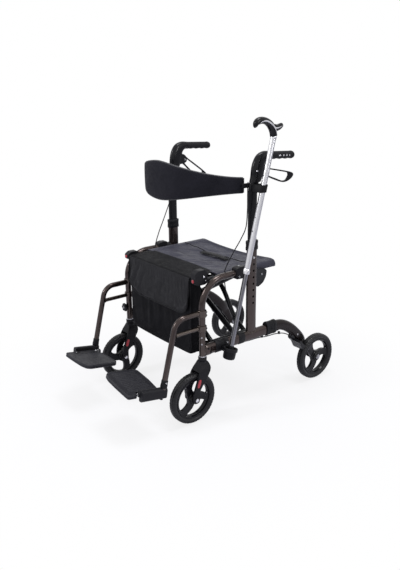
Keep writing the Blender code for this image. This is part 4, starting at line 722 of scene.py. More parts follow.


# The cable's route from the handle down.
CABLE_STILL_Z = 0.46
CABLE_TOP = [(0.2405, -0.012, 0.8837), (0.2405, -0.014, 0.862), (0.2405, -0.014, 0.83),
             (0.2405, -0.014, 0.78)]
CABLE_BOW = {
    "left": [(0.24, -0.02, 0.716), (0.2392, -0.046, 0.672), (0.2385, -0.074, 0.637),
             (0.2372, -0.108, 0.589), (0.237, -0.124, 0.558), (0.237, -0.122, 0.52)],
    "right": [(0.24, -0.03, 0.735), (0.2392, -0.063, 0.668), (0.2385, -0.082, 0.632),
              (0.2372, -0.102, 0.588), (0.237, -0.11, 0.56), (0.237, -0.112, 0.52)],
}
CABLE_FOOT = [(0.2374, -0.108, 0.45), (0.2378, -0.084, 0.38), (0.2378, -0.064, 0.32),
              (0.2378, -0.052, 0.281), (0.2384, -0.044, 0.264), (0.241, -0.03, 0.2555),
              (0.248, -0.005, 0.255), (0.2526, 0.04, 0.256), (0.2526, 0.085, 0.25), (0.2526, 0.138, 0.247),
              (0.2526, 0.182, 0.2385), (0.2526, 0.214, 0.2235)]


def brake_cable(side):
    """Cable from the handle to the shoe, with ferrules and clips."""
    body = f"{side}_frame"
    add = adder(body, side)
    end = [tuple(shoe_point(SIDE_X, ahead, 0.003)) for ahead in (-0.0185, -0.0131)]
    path = [Vector(p) for p in smooth(CABLE_TOP + CABLE_BOW[side] + CABLE_FOOT + end, 6)]
    reach = (body, f"handle_{side}", SHIFT + UP * CABLE_STILL_Z, SHIFT + UP * CABLE_TOP[0][2])
    piece(f"brake_cable_sleeve_{side}", sweep(path, circle(0.002, 12)), RUBBER, reach, side,
          [f"brake_cable_{side}"])
    piece(f"cable_top_ferrule_{side}", rod(path[0] - UP * 0.004, path[0] + UP * 0.001, 0.0032, 16), ZINC,
          f"handle_{side}", side)
    foot = rod(path[-1], path[-1] + (path[-4] - path[-1]).normalized() * 0.011, 0.003, 16)
    add("cable_foot_ferrule", foot, ZINC)
    clips = []
    for y, z in ((0.062, 0.2545), (0.16, 0.244)):
        clips.append(box((SIDE_X - 0.004, y - 0.004, z - 0.003), (SIDE_X + 0.004, y + 0.004, z + 0.0085)))
    add("cable_clips", merge(*clips), PLASTIC, bevel=0.0008)


def brake_lever(side):
    """Loop lever under the grip. The right one is drawn pressed, as in the photo."""
    outer = [(0.057, 0.932), (0.09, 0.9265), (0.128, 0.919), (0.174, 0.909), (0.2, 0.9015),
             (0.209, 0.893), (0.202, 0.882), (0.187, 0.8735), (0.168, 0.8685), (0.145, 0.87),
             (0.11, 0.882), (0.0817, 0.893), (0.057, 0.903)]
    inner = [(0.07, 0.924), (0.092, 0.921), (0.128, 0.9135), (0.174, 0.9035), (0.18, 0.9),
             (0.182, 0.894), (0.179, 0.8865), (0.174, 0.88), (0.166, 0.875), (0.146, 0.8755),
             (0.112, 0.888), (0.0835, 0.8985), (0.07, 0.907)]
    loops = []
    for outline, reach in ((outer, -0.0035), (outer, 0.0035), (inner, 0.0035), (inner, -0.0035)):
        loops.append([(SIDE_X + reach, y, z) for y, z in smooth(outline, 6, True)])
    shape = rings(loops, True)
    if side == "right":
        pivot = Matrix.Translation((SIDE_X, *LEVER_PIVOT))
        shape = moved(shape, pivot @ Matrix.Rotation(math.radians(-23), 4, "X") @ pivot.inverted())
    piece(f"brake_lever_loop_{side}", shape, BLACK_COAT, f"brake_lever_{side}", side,
          [f"brake_lever_{side}"], bevel=0.0013)


# Handles
def lean_y(z):
    """Where the post's middle is above its bend."""
    return (z - POST_BEND_Z) * math.tan(POST_LEAN)


def handle(side):
    """Post, housing, grip and lever mount, and the collar that the post slides in."""
    body = f"handle_{side}"
    add = adder(body, side)
    path = bent([(SIDE_X, 0, 0.56), (SIDE_X, 0, POST_BEND_Z), (SIDE_X, lean_y(0.906), 0.906)], 0.09, 10)
    path = [path[0]] + [path[0].lerp(path[1], i / 8) for i in range(1, 8)] + path[1:]
    pocket = rod((SIDE_X + 0.0055, 0, HOLE_TOP_Z), (SIDE_X + 0.0135, 0, HOLE_TOP_Z), 0.0045, 20, 0)
    holes = [rod((SIDE_X, 0.015, z), (SIDE_X, 0.024, z), 0.0034, 16, 0) for z in (0.789, 0.764, 0.738)]
    add("post_tube", sweep(path, oval(POST_WIDE / 2, POST_DEEP / 2, 48), ACROSS), BLACK_COAT,
        "handle_post", cuts=[merge(pocket, *holes)])
    inner = SIDE_X - POST_WIDE / 2
    gap = inner - LINK_FACE
    pin = lathe((inner, 0, BACKREST_PIN_Z), -ACROSS, [
        (0.0095, -0.002), (0.0095, 0.001), (0.0075, 0.0014), (0.0075, gap - 0.0003), (0.0035, gap),
        (0.0035, gap + 0.008), (0.003, gap + 0.0085)], 28)
    add("post_details", pin, BLACK_COAT)
    stations = [(lean_y(0.884) + 0.003, 0.884, 0, 0.0236, 0.0138),
                (lean_y(0.8855) + 0.003, 0.8855, 0, 0.0242, 0.0145),
                (0.017, 0.903, 4, 0.0262, 0.0145), (0.0205, 0.925, 8, 0.0275, 0.0145),
                (0.0265, 0.946, 20, 0.0275, 0.0145), (0.037, 0.964, 45, 0.0245, 0.0145),
                (0.053, 0.9735, 72, 0.0195, 0.0145), (0.066, 0.9765, 86, 0.016, 0.0142),
                (0.074, 0.9762, 90, 0.0152, 0.0142), (0.0777, 0.976, 90, 0.0144, 0.0136)]
    loops = []
    for y, z, lean, deep, wide in smooth(stations, 5):
        angle = math.radians(lean)
        across = Vector((0, math.cos(angle), -math.sin(angle)))
        loops.append([Vector((SIDE_X, y, z)) + ACROSS * u + across * v for u, v in oval(wide, deep, 40)])
    corners = [(0.036, 0.899), (0.06, 0.901), (0.0745, 0.908), (0.0745, 0.926), (0.062, 0.939),
               (0.036, 0.946)]
    ears = [slab(rounded(corners, 0.006), SIDE_X + low, SIDE_X + high)
            for low, high in ((-0.01, -0.0042), (0.0042, 0.01))]
    slot = box((SIDE_X - 0.0042, 0.048, 0.87), (SIDE_X + 0.0042, 0.09, 0.95), 0.001)
    add("handle_shell", rings(loops), GLOSS, "handle_housing", sharp=40, cuts=[slot])
    add("lever_mount", merge(*ears), PLASTIC, bevel=0.0012)
    screw(body, side, (SIDE_X + 0.0136, 0.0085, 0.925), ACROSS, 0.0032, 0.0022, finish=CHROME)
    screw(body, side, (SIDE_X + 0.01, 0.061, 0.933), ACROSS, 0.0026, 0.0018)
    for sign in (1, -1):
        screw(body, side, (SIDE_X + sign * 0.01, *LEVER_PIVOT), ACROSS * sign, 0.004, 0.0024)
    add("grip_sleeve", grip_shape(), RUBBER, "grip", sharp=50)
    # Painted highlights: pale nubs on the grip's outer face stand for light glinting on its ridges.
    glint_nubs = []
    for y, long in ((0.123, 1.9), (0.1425, 1.2), (0.159, 1.1), (0.174, 0.7)):
        spot = Vector((SIDE_X + 0.0138, y, grip_z(y) - 0.001))
        glint_nubs.append(rings([[spot + Vector((x, v * long * s, u * s)) for u, v in circle(0.003, 20)]
                           for x, s in ((-0.001, 1.0), (0.0004, 1.0), (0.0009, 0.7))]))
    add("grip_dots", merge(*glint_nubs), PALE_AND_GLINT)
    collar = [(0.0098, 0.0203, 0.6295), (0.015, 0.0262, 0.6295), (0.016, 0.027, 0.6315),
              (0.016, 0.027, 0.641), (0.0152, 0.0262, 0.642), (0.0152, 0.0262, 0.654),
              (0.016, 0.027, 0.655), (0.016, 0.027, 0.663), (0.0148, 0.0258, 0.665),
              (0.0098, 0.0203, 0.665)]
    loops = [[(SIDE_X + u, v, z) for u, v in oval(wide, deep, 44)] for wide, deep, z in collar]
    piece(f"collar_ring_{side}", rings(loops, True), PLASTIC, f"{side}_frame", side,
          [f"upright_collar_{side}"])
    start = SIDE_X + POST_WIDE / 2 + 0.0003
    button = lathe((start, 0, HOLE_TOP_Z), ACROSS,
                   [(0.0038, 0), (0.0038, 0.004), (0.0034, 0.0049), (0.0018, 0.0053)], 24)
    piece(f"spring_button_{side}", button, PALE_AND_GLINT, f"height_button_{side}", side, [f"height_button_{side}"])


def grip_z(y):
    """Height of the grip's middle line."""
    return GRIP_Z - math.tan(GRIP_DROP) * (y - GRIP_START)


def grip_shape():
    """A round grip with finger waves underneath and raised end rings."""
    loops = []
    count = 90
    for i in range(count + 1):
        share = i / count
        y = 0.078 + 0.123 * share
        radius = 0.0142 * (1.0 - 0.1 * max(0.0, (share - 0.95) / 0.05) ** 2)
        if share < 0.06 or 0.9 < share < 0.95:
            radius += 0.0006
        ribbed = 0.1 < share < 0.88
        wave = 0.001 * math.sin(share * 8 * math.pi) if ribbed else 0.0
        rib = 0.0003 if ribbed and i % 3 == 0 else 0.0
        loop = []
        for u, v in circle(radius, 40):
            low = max(0.0, -v / radius)
            loop.append((SIDE_X + u * (1 - rib * 20), y, grip_z(y) + v + (wave + rib) * low))
        loops.append(loop)
    end_y = 0.204
    for y, radius in ((0.203, 0.0118), (end_y, 0.0095)):
        loops.append([(SIDE_X + u, y, grip_z(end_y) + v) for u, v in circle(radius, 40)])
    return rings(loops)


# Wheels
def tyre(name, centre, body, side, node):
    """Solid tyre: a rounded tread with two grooves round it and notched shoulders."""
    half = TYRE_WIDE / 2
    shoulder = [(0.0803, -0.012), (0.0845, -0.015), (0.09, -half), (0.095, -half + 0.0012),
                (0.0978, -half + 0.004), (0.0996, -0.01), (0.1, -0.0068), (0.0984, -0.0062),
                (0.0984, -0.0048), (0.1, -0.0042)]
    profile = shoulder + [(0.1002, 0.0)] + flipped(shoulder)

    def notched(k, angle):
        step = round(angle / math.tau * 192)
        return 0.987 if k in (3, 4, 5, 15, 16, 17) and step % 4 == 0 else 1.0

    shape = lathe(centre, ACROSS, profile, 192, True, notched)
    return piece(name, shape, TYRE, body, side, [node], sharp=40)


def rim(name, centre, turn, body, side, node):
    """Moulded rim with a hub and three swept spokes."""
    half = TYRE_WIDE / 2
    outside = [(0.012, half), (0.013, half - 0.001), (0.016, half - 0.001), (0.019, half - 0.003),
               (0.0195, 0.0085), (0.0225, 0.0062), (0.068, 0.0056), (0.0705, 0.0068), (0.073, 0.0125),
               (0.08, 0.0138), (0.0806, 0.0125)]
    profile = [(0.0051, -half), (0.0051, half)] + outside + flipped(outside)
    windows = []
    for i in range(3):
        first = math.radians(turn) + math.tau * i / 3
        edges = []
        for k in range(7):
            radius = 0.0275 + 0.037 * k / 6
            margin = 0.0152 / radius
            sweep_by = math.radians(16) * (k / 6) ** 1.3
            edges.append((radius, first + margin + sweep_by, first + math.tau / 3 - margin + sweep_by))
        outline = [(r, a) for r, a, _ in edges]
        low, high = edges[-1][1], edges[-1][2]
        outline += [(0.069, low + 0.06 + (high - low - 0.12) * j / 10) for j in range(11)]
        outline += [(r, b) for r, _, b in reversed(edges)]
        flat = rounded([(r * math.sin(a), r * math.cos(a)) for r, a in outline], 0.004, 3)
        windows.append(rings([[Vector(centre) + Vector((x, y, z)) for y, z in flat]
                              for x in (-0.013, 0.013)]))
    shape = lathe(centre, ACROSS, profile, 120, True)
    made = piece(name, shape, GLOSS, body, side, [node], bevel=0.0011, sharp=35, cuts=[merge(*windows)])
    rivet_r = 0.06486
    rivets = []
    for i in range(3):
        angle = math.radians(turn) + math.tau * i / 3
        spot = Vector(centre) + Vector((0.0056, rivet_r * math.sin(angle), rivet_r * math.cos(angle)))
        rivets.append(bolt(spot, ACROSS, 0.002, 0.0014))
    piece(f"{name}_rivets", merge(*rivets), ZINC, body, side)
    return made


def caster(side):
    """Fork with its crown, reflectors and axle nuts."""
    y = FRONT_TUBE_Y
    half = TYRE_WIDE / 2 + 0.0115
    gap = TYRE_WIDE / 2 + 0.0035
    corners = [(y + 0.0105, FORK_TOP_Z), (y + 0.0195, 0.2335), (y + 0.0235, 0.221), (y + 0.021, 0.207),
               (y + 0.0105, 0.19), (y - 0.005, 0.168), (y - 0.03, 0.135), (CASTER_Y + 0.0145, 0.11),
               (CASTER_Y + 0.014, 0.094), (CASTER_Y + 0.007, 0.0865), (CASTER_Y - 0.007, 0.0865),
               (CASTER_Y - 0.014, 0.094), (CASTER_Y - 0.015, 0.107), (y - 0.06, 0.128), (y - 0.049, 0.16),
               (y - 0.037, 0.19), (y - 0.0255, 0.215), (y - 0.018, 0.232), (y - 0.0095, FORK_TOP_Z)]
    outline = [(v, min(z, FORK_TOP_Z)) for v, z in smooth(corners, 4, True)]
    body = f"caster_{side}"
    add = adder(body, side)
    made = object_of(f"fork_{side}", slab(outline, CASTER_X - half, CASTER_X + half), PLASTIC, side)
    axle = Vector((CASTER_X, CASTER_Y, WHEEL_R))
    carve(made, lathe(axle, ACROSS, [(0.1058, -gap), (0.1058, gap)], 96), side)
    shoulders = [(-half + 0.0005, 0.07), (half - 0.0005, 0.07), (half, 0.13), (half, 0.183),
                 (half - 0.0012, 0.2), (half - 0.0045, 0.215), (0.0175, 0.229),
                 (0.0135, FORK_TOP_Z - 0.001), (0.0125, FORK_TOP_Z + 0.001)]
    shoulders += [(-u, z) for u, z in reversed(shoulders[1:])]
    ends = (CASTER_Y - 0.05, y + 0.05)
    keep = rings([[Vector((CASTER_X + u, v, z)) for u, z in shoulders] for v in ends])
    carve(made, keep, side, "INTERSECT")
    soften(made, 0.0032, 3, 30)
    settle(made, body, [f"caster_fork_{side}"])
    crown = lathe((CASTER_X, y, 0), UP, [(0.0175, 0.2335), (0.0178, 0.2395), (0.017, 0.2425),
                                         (0.015, 0.2437), (0.0075, 0.2437), (0.0075, 0.293),
                                         (0.0068, 0.2937)], 40)
    add("fork_crown", crown, PLASTIC)
    for sign in (1, -1):
        face = CASTER_X + sign * half
        along = Vector((0, -0.0118, -0.0352)).normalized()
        normal = Vector((0, along.z, -along.y))
        spot = Vector((face, -0.2795, 0.1645))
        loop = [spot + along * v + normal * u for u, v in oval(0.0064, 0.0165, 32, 2.8)]
        inset = [spot + along * v + normal * u for u, v in oval(0.0055, 0.0156, 32, 2.8)]
        depth = ACROSS * sign * 0.0007
        plate = rings([[p - depth * 2 for p in loop], [p + depth * 0.6 for p in loop],
                       [p + depth for p in inset]])
        piece(f"reflector_{side}_{face_name(sign)}", plate, RED, body, side)
        washer = lathe((face, CASTER_Y, WHEEL_R), ACROSS * sign,
                       [(0.0092, -0.0005), (0.0092, 0.001), (0.008, 0.0016)], 32)
        piece(f"fork_washer_{side}_{face_name(sign)}", washer, BLACK_COAT, body, side)
        screw(body, side, (face + sign * 0.0012, CASTER_Y, WHEEL_R), ACROSS * sign, 0.0052, 0.0034, "nut",
              finish=CHROME)


# Brace
def arm_line(y):
    """The route of a bent bar from its lower pivot to the far seat rail."""
    points = [(PIVOT_X, RAIL_Z), (0.187, 0.3055), (0.158, 0.326), (0.138, 0.352), (0.101, 0.409),
              (0.074, 0.441), (0.04, 0.469), (0.0, 0.49), (-0.07, 0.511), (-PIVOT_X, SEAT_RAIL_Z)]
    return [Vector((x, y, z)) for x, z in smooth(points, 6)]


def brace_arm(side):
    """One straight and two bent bars with their pivot sleeves."""
    body = "brace_a" if side == "left" else "brace_b"
    add = adder(body, side)
    straight_y, rear_y, front_y = (-0.052, 0.0, -0.17) if side == "left" else (-0.028, 0.024, -0.144)
    lower, upper = Vector((PIVOT_X, 0, RAIL_Z)), Vector((-PIVOT_X, 0, SEAT_RAIL_Z))
    ease = 0.001

    def sleeve(centre, low, high, outer, bore):
        return lathe(centre, ALONG, [(bore, low), (outer - ease, low), (outer, low + ease),
                                     (outer, high - ease), (outer - ease, high), (bore, high)], 32, True)

    parts = [sleeve(lower, -0.184, 0.04, 0.0134, 0.0108)]
    start, end = lower + ALONG * straight_y, upper + ALONG * straight_y
    way = (end - start).normalized()
    parts.append(sweep([start + way * 0.011, end - way * 0.012], circle(0.011, 32)))
    for y in (rear_y, front_y):
        parts.append(sweep(arm_line(y)[1:-1], circle(0.0095, 24)))
    for y in (straight_y, rear_y, front_y):
        parts.append(sleeve(upper + ALONG * y, -0.0115, 0.0115, 0.0145, 0.012))
    for spot in (start + way * 0.0135, end - way * 0.0145):
        parts.append(lathe(spot, way, [(0.01, -0.002), (0.0126, -0.0012), (0.0126, 0.0012), (0.01, 0.002)],
                           24))
    add("brace_bars", merge(*parts), BLACK_COAT, "brace_arm")


def brace_bolt():
    """Bolt where the two arms of the brace cross."""
    spot = Vector((0, 0, (RAIL_Z + SEAT_RAIL_Z) / 2))
    shape = lathe(spot, ALONG, [(0.007, -0.068), (0.0085, -0.067), (0.0085, -0.0633), (0.0044, -0.0633),
                                (0.0044, -0.0165), (0.011, -0.0165), (0.011, -0.015), (0.0082, -0.0149),
                                (0.0082, -0.0116), (0.0072, -0.011)], 36,
                  reach=nut_at(0, 1, 2, 7, 8, 9))
    piece("brace_bolt_zinc", shape, ZINC, "brace_b", "left", ["brace_pivot_bolt"])


def seat_rail(side):
    """Rail under the seat's edge with its plug, catch housing and red button."""
    body = f"seat_rail_{side}"
    add = adder(body, side)
    rail = rod((PIVOT_X, -0.207, SEAT_RAIL_Z), (PIVOT_X, 0.143, SEAT_RAIL_Z), SEAT_RAIL_R, 32)
    plug = lathe((PIVOT_X, 0.1425, SEAT_RAIL_Z), ALONG, [(0.0108, -0.001), (0.0122, 0.0), (0.0122, 0.002),
                                                         (0.0095, 0.0042), (0.004, 0.0048)], 32)
    top = 0.588 if side == "left" else 0.568
    corners = [(BAG_FRONT, 0.54), (-0.25, 0.532), (-0.214, 0.532), (-0.205, 0.54), (-0.205, top - 0.012),
               (-0.218, top), (-0.246, top), (BAG_FRONT, top - 0.01)]
    catch = slab(rounded(corners, 0.005), PIVOT_X - 0.0095, SIDE_X - TUBE_WIDE / 2 - 0.0018)
    spot = Vector((PIVOT_X + 0.004, BAG_FRONT, 0.549))
    hole = rod(spot - ALONG * 0.01, spot + ALONG * 0.0095, 0.0072, 28, 0)
    add("seat_bar", rail, BLACK_COAT, "seat_rail")
    add("seat_bar_plug", plug, PLASTIC)
    add("catch_shell", catch, PLASTIC, bevel=0.0016, cuts=[hole])
    button = lathe(spot, ALONG, [(0.0022, -0.004), (0.005, -0.0037), (0.0062, -0.0026), (0.0065, -0.001),
                                 (0.0065, 0.0045)], 32)
    piece(f"push_button_{side}", button, RED, f"release_button_{side}", side, [f"release_button_{side}"])
    ring = lathe(spot, ALONG, [(0.0074, 0.0008), (0.0074, -0.0012), (0.0086, -0.0014), (0.0092, -0.0004),
                               (0.0092, 0.0008)], 32, True)
    add("button_ring", ring, GLOSS)
    face = SIDE_X - TUBE_WIDE / 2 - 0.0018
    screw(body, side, (face, -0.222, 0.562), ACROSS, 0.0042, 0.0026, finish=CHROME)
    screw(body, side, (face, -0.214, 0.547), ACROSS, 0.003, 0.002)


# Legrests
def hanger_y(z):
    """Where the hanger's sloping part is at a height."""
    return -0.359 - (HANGER_TOP_Z - z) * math.tan(math.radians(14.4))


def foot_point(x, along, above):
    """A point in the open footplate's own plane, from its hinge forwards and upwards."""
    y = FOOT_HINGE[1] - along * math.cos(FOOT_TILT) + above * math.sin(FOOT_TILT)
    z = FOOT_HINGE[2] + along * math.sin(FOOT_TILT) + above * math.cos(FOOT_TILT)
    return Vector((x, y, z))


def legrest(side):
    """Bent hanger with clamps, strut, footplate bracket and hinge pin."""
    body = f"legrest_{side}"
    add = adder(body, side)
    foot_z = 0.169
    path = bent([(HANGER_X, FRONT_TUBE_Y - 0.01, HANGER_TOP_Z), (HANGER_X, -0.359, HANGER_TOP_Z),
                 (HANGER_X, hanger_y(foot_z), foot_z)], 0.05, 20)
    tube = sweep(path, circle(0.0107, 32), ACROSS)
    strut = sweep([(HANGER_X, FRONT_TUBE_Y - 0.01, STRUT_Z), (HANGER_X, hanger_y(STRUT_Z), STRUT_Z)],
                  circle(0.0078, 28), ACROSS)
    add("hanger_tube", merge(tube, strut), BRONZE, "legrest_hanger")
    clamps = []
    for z, half in ((HANGER_TOP_Z, 0.013), (STRUT_Z, 0.011)):
        clamps.append(lathe((SIDE_X, FRONT_TUBE_Y, z), UP,
                            [(0.0132, -half), (0.016, -half), (0.0172, -half + 0.0014),
                             (0.0172, half - 0.0014), (0.016, half), (0.0132, half)], 40, True))
    clamps.append(lathe((HANGER_X, hanger_y(STRUT_Z), STRUT_Z), -ALONG,
                        [(0.009, -0.013), (0.0105, -0.009)], 24))
    add("hanger_clamps", merge(*clamps), BRONZE)
    for z in (HANGER_TOP_Z - 0.006, HANGER_TOP_Z + 0.006, STRUT_Z):
        screw(body, side, (SIDE_X + 0.012, FRONT_TUBE_Y + 0.012, z), (1, 1, 0), 0.003, 0.0022,
              finish=BLACK_COAT)
    low, high = 0.188, 0.214
    axis = Vector((0, hanger_y(high) - hanger_y(low), high - low)).normalized()
    start = Vector((HANGER_X, hanger_y(low), low))
    collar = lathe(start, axis, [(0.011, -0.004), (0.0128, -0.002), (0.0132, 0.0), (0.0132, 0.01),
                                 (0.0125, 0.011), (0.0125, 0.024), (0.0112, 0.0268)], 36)
    add("hanger_collar", collar, PLASTIC)
    screw(body, side, start + axis * 0.017 + ACROSS * 0.0122, ACROSS, 0.0032, 0.0022)
    section = rounded([(0.2375, -0.0225), (0.2595, -0.0195), (0.2595, 0.019), (0.2375, 0.0225)], 0.0085, 6)
    loops = []
    middle_x, middle_n = HANGER_X, -0.001
    for along, grow in ((-0.0118, 0.9), (-0.0105, 1.0), (0.096, 1.0), (0.0974, 0.9)):
        loops.append([foot_point(middle_x + (x - middle_x) * grow, along, middle_n + (n - middle_n) * grow)
                      for x, n in section])
    add("foot_bracket", rings(loops), PLASTIC)
    hinge_x = FOOT_HINGE[0]
    knuckles = []
    web = ((hinge_x, -0.0078), (0.24, -0.0078), (0.24, 0.0078), (hinge_x, 0.0078))
    for a, b in ((-0.0114, -0.0033), (0.0906, 0.0977)):
        knuckles.append(rod(foot_point(hinge_x, a, 0), foot_point(hinge_x, b, 0), 0.008, 28))
        knuckles.append(rings([[foot_point(x, t, n) for x, n in web] for t in (a + 0.0005, b - 0.0005)]))
    add("foot_knuckles", merge(*knuckles), PLASTIC)
    axle_axis = (foot_point(0, 1, 0) - foot_point(0, 0, 0)).normalized()
    foot = lathe(foot_point(HANGER_X, 0.006, -0.0185), (0, -math.sin(FOOT_TILT), -math.cos(FOOT_TILT)),
                 [(0.0058, 0), (0.0062, 0.0045), (0.0058, 0.0066), (0.0044, 0.0072)], 24)
    add("bracket_foot", foot, RUBBER)
    pin = lathe(foot_point(hinge_x, 0, 0), axle_axis,
                [(0.003, -0.014), (0.0035, -0.0135), (0.0035, -0.0024), (0.0078, -0.0024),
                 (0.008, -0.0018), (0.008, 0.0147), (0.0078, 0.0152), (0.0035, 0.0152), (0.0035, 0.0982),
                 (0.0052, 0.0983), (0.0054, 0.1), (0.0044, 0.101), (0.002, 0.1012)], 28)
    piece(f"foot_hinge_pin_{side}", pin, ZINC, f"footplate_{side}", side, [f"footplate_hinge_{side}"])


def footplate(side):
    """Ribbed plate with the barrel and tongue of its hinge."""
    body = f"footplate_{side}"
    add = adder(body, side)
    hinge_x = FOOT_HINGE[0]
    edge = hinge_x - 0.0095
    corners = [(edge, 0.02), (edge, 0.104), (0.2395, 0.104), (0.2395, 0.1425), (0.2, 0.145),
               (0.15, 0.1465), (0.1, 0.1455), (0.07, 0.139), (0.06, 0.124), (0.062, 0.014),
               (0.073, 0.0015), (0.15, -0.0012), (edge - 0.004, 0.004)]
    outline = rounded(corners, 0.008, 6)
    centre = sum((Vector(p) for p in outline), Vector((0, 0))) / len(outline)

    def ring(inset, above):
        """The outline drawn in towards its middle, at a height over the plate."""
        loop = []
        for x, a in outline:
            spot = Vector((x, a))
            spot += (centre - spot).normalized() * inset
            loop.append(foot_point(spot.x, spot.y, above))
        return loop

    profile = [(0.013, -0.007), (0.006, -0.01), (0.002, -0.0096), (0.0004, -0.008), (0.0, -0.005),
               (0.0007, -0.003), (0.002, -0.0022), (0.002, -0.0014), (0.0004, -0.0006), (0.0, 0.002),
               (0.0012, 0.005), (0.0034, 0.006), (0.0062, 0.0054), (0.0072, 0.0046), (0.009, 0.0044)]
    plate = rings([ring(inset, above) for inset, above in profile])
    ribs = []
    for k in range(12):
        x = 0.08 + 0.0112 * k
        loops = [[foot_point(x + u * s, t, 0.0042 + v * s) for u, v in oval(0.003, 0.0006, 10)]
                 for t, s in ((0.02, 0.3), (0.026, 1.0), (0.116, 1.0), (0.122, 0.3))]
        ribs.append(rings(loops))
    barrel = rod(foot_point(hinge_x, 0.0156, 0), foot_point(hinge_x, 0.0897, 0), 0.008, 32)
    web = ((edge - 0.012, -0.0052), (hinge_x, -0.007), (hinge_x, 0.007), (edge - 0.012, 0.0052))
    tongue = rings([[foot_point(x, t, n) for x, n in web] for t in (0.016, 0.0893)])
    start = foot_point(hinge_x, 0, 0)
    lift = Matrix.Rotation(-math.radians(FOOT_LIFT[side]), 4, foot_point(hinge_x, 1, 0) - start)
    turn = Matrix.Translation(start) @ lift @ Matrix.Translation(-start)
    add("foot_panel", moved(plate, turn), STEP_PLASTIC, "footplate", sharp=28)
    add("foot_ribs", moved(merge(*ribs), turn), STEP_PLASTIC)
    add("foot_barrel", moved(merge(barrel, tongue), turn), PLASTIC)


# Cane and its holder
CANE_AXIS = Vector((0, math.sin(CANE_LEAN), math.cos(CANE_LEAN)))


def cane_point(along):
    """A point on the cane's axis, from its foot upwards."""
    return Vector((CANE_X, *CANE_FOOT)) + CANE_AXIS * along


def cane_y(z):
    """Where the cane's axis is at a height."""
    return cane_point((z - CANE_FOOT[1]) / CANE_AXIS.z).y


def cane_part(profile, sides=36, looped=False, reach=None):
    """A turned shape on the cane's axis, with heights from the cane's foot."""
    return lathe(cane_point(0), CANE_AXIS, profile, sides, looped, reach)


def cane():
    """Tubes, tip, lock nut and collar of the cane, its handle and what holds it."""
    lower = cane_part([(0.0086, 0.044), (0.0086, 0.475)])
    # The lower tube's dark colour is a painted reflection of dark surroundings.
    piece("cane_inner_tube", lower, SILVER_PAINTED_DARK, "cane_lower", "left", ["cane_lower_tube"])
    tip = [(0.0085, 0.0), (0.0105, 0.0004), (0.0113, 0.0018)]
    for k in range(4):
        tip += [(radius, height + 0.006 * k) for radius, height in
                ((0.0115, 0.004), (0.0115, 0.0072), (0.0108, 0.0078), (0.0108, 0.0094))]
    tip += [(0.0112, 0.03), (0.0104, 0.04), (0.0098, 0.048), (0.0087, 0.0485)]
    piece("cane_tip", cane_part(tip), RUBBER, "cane_lower", "left")
    top = CANE_TUBE_TOP
    upper = cane_part([(0.0095, 0.346), (0.0105, 0.3465), (0.0105, top), (0.0095, top)], 40, True)
    piece("cane_outer_tube", upper, SILVER, "cane_upper", "left", ["cane_upper_tube"])
    holes = []
    front = Vector((0, -math.cos(CANE_LEAN), math.sin(CANE_LEAN)))
    for k in range(5):
        holes.append(lathe(cane_point(0.486 + 0.0508 * k) + front * 0.0104, front,
                           [(0.0024, -0.001), (0.0023, 0.0004), (0.0016, 0.0006)], 20))
    piece("cane_hole_plugs", merge(*holes), PLASTIC, "cane_upper", "left")
    nut = [(0.0094, 0.326), (0.0122, 0.3263), (0.013, 0.3275), (0.013, 0.33), (0.012, 0.3306),
           (0.012, 0.3318), (0.013, 0.3324), (0.013, 0.34), (0.0122, 0.342), (0.0108, 0.3462),
           (0.0094, 0.3465)]

    def knurled(k, angle):
        return 0.97 if k in (6, 7) and math.cos(24 * angle) < 0 else 1.0

    piece("cane_lock_nut", cane_part(nut, 48, True, knurled), CHROME, "cane_upper", "left")
    cane_handle()
    collar = cane_part([(0.0106, 0.822), (0.0116, 0.8223), (0.0118, 0.8235), (0.0118, 0.8318),
                        (0.0106, 0.8322)])
    piece("cane_collar", collar, CHROME, "cane_upper", "left")
    cane_cup()
    strap()


def cane_cup():
    """Cup for the cane's foot, with an arm and a saddle on the base rail."""
    foot = cane_point(-0.0036) + ALONG * -0.002
    profile = [(0.0085, 0.0033), (0.0195, 0.0034), (0.0218, 0.0075), (0.0221, 0.043), (0.0228, 0.0435),
               (0.0275, 0.0435), (0.028, 0.0428), (0.028, 0.0322), (0.0272, 0.0312), (0.0243, 0.03),
               (0.0233, 0.006), (0.0215, 0.002), (0.018, 0.0), (0.0085, 0.0)]
    cup = lathe(foot, CANE_AXIS, profile, 56, True)
    spot = foot + CANE_AXIS * 0.0355
    arm = box((SIDE_X + TUBE_WIDE / 2 + 0.0002, spot.y - 0.016, 0.262),
              (CANE_X - 0.0228, spot.y + 0.016, 0.282), 0.004)
    stations = [spot.y + reach for reach in (-0.0215, -0.02, 0.02, 0.0215)]
    saddle = cuff(stations, RAIL_Z, 0.0146, 0.024, 0.001)
    piece("cane_cup_shell", cup, PLASTIC, "left_frame", "left", ["cane_cup"])
    piece("cane_cup_arm", merge(arm, saddle), PLASTIC, "left_frame", "left", bevel=0.001)
    screw("left_frame", "left", (SIDE_X + 0.0146, spot.y + 0.0125, 0.29), ACROSS, 0.0034, 0.0022)


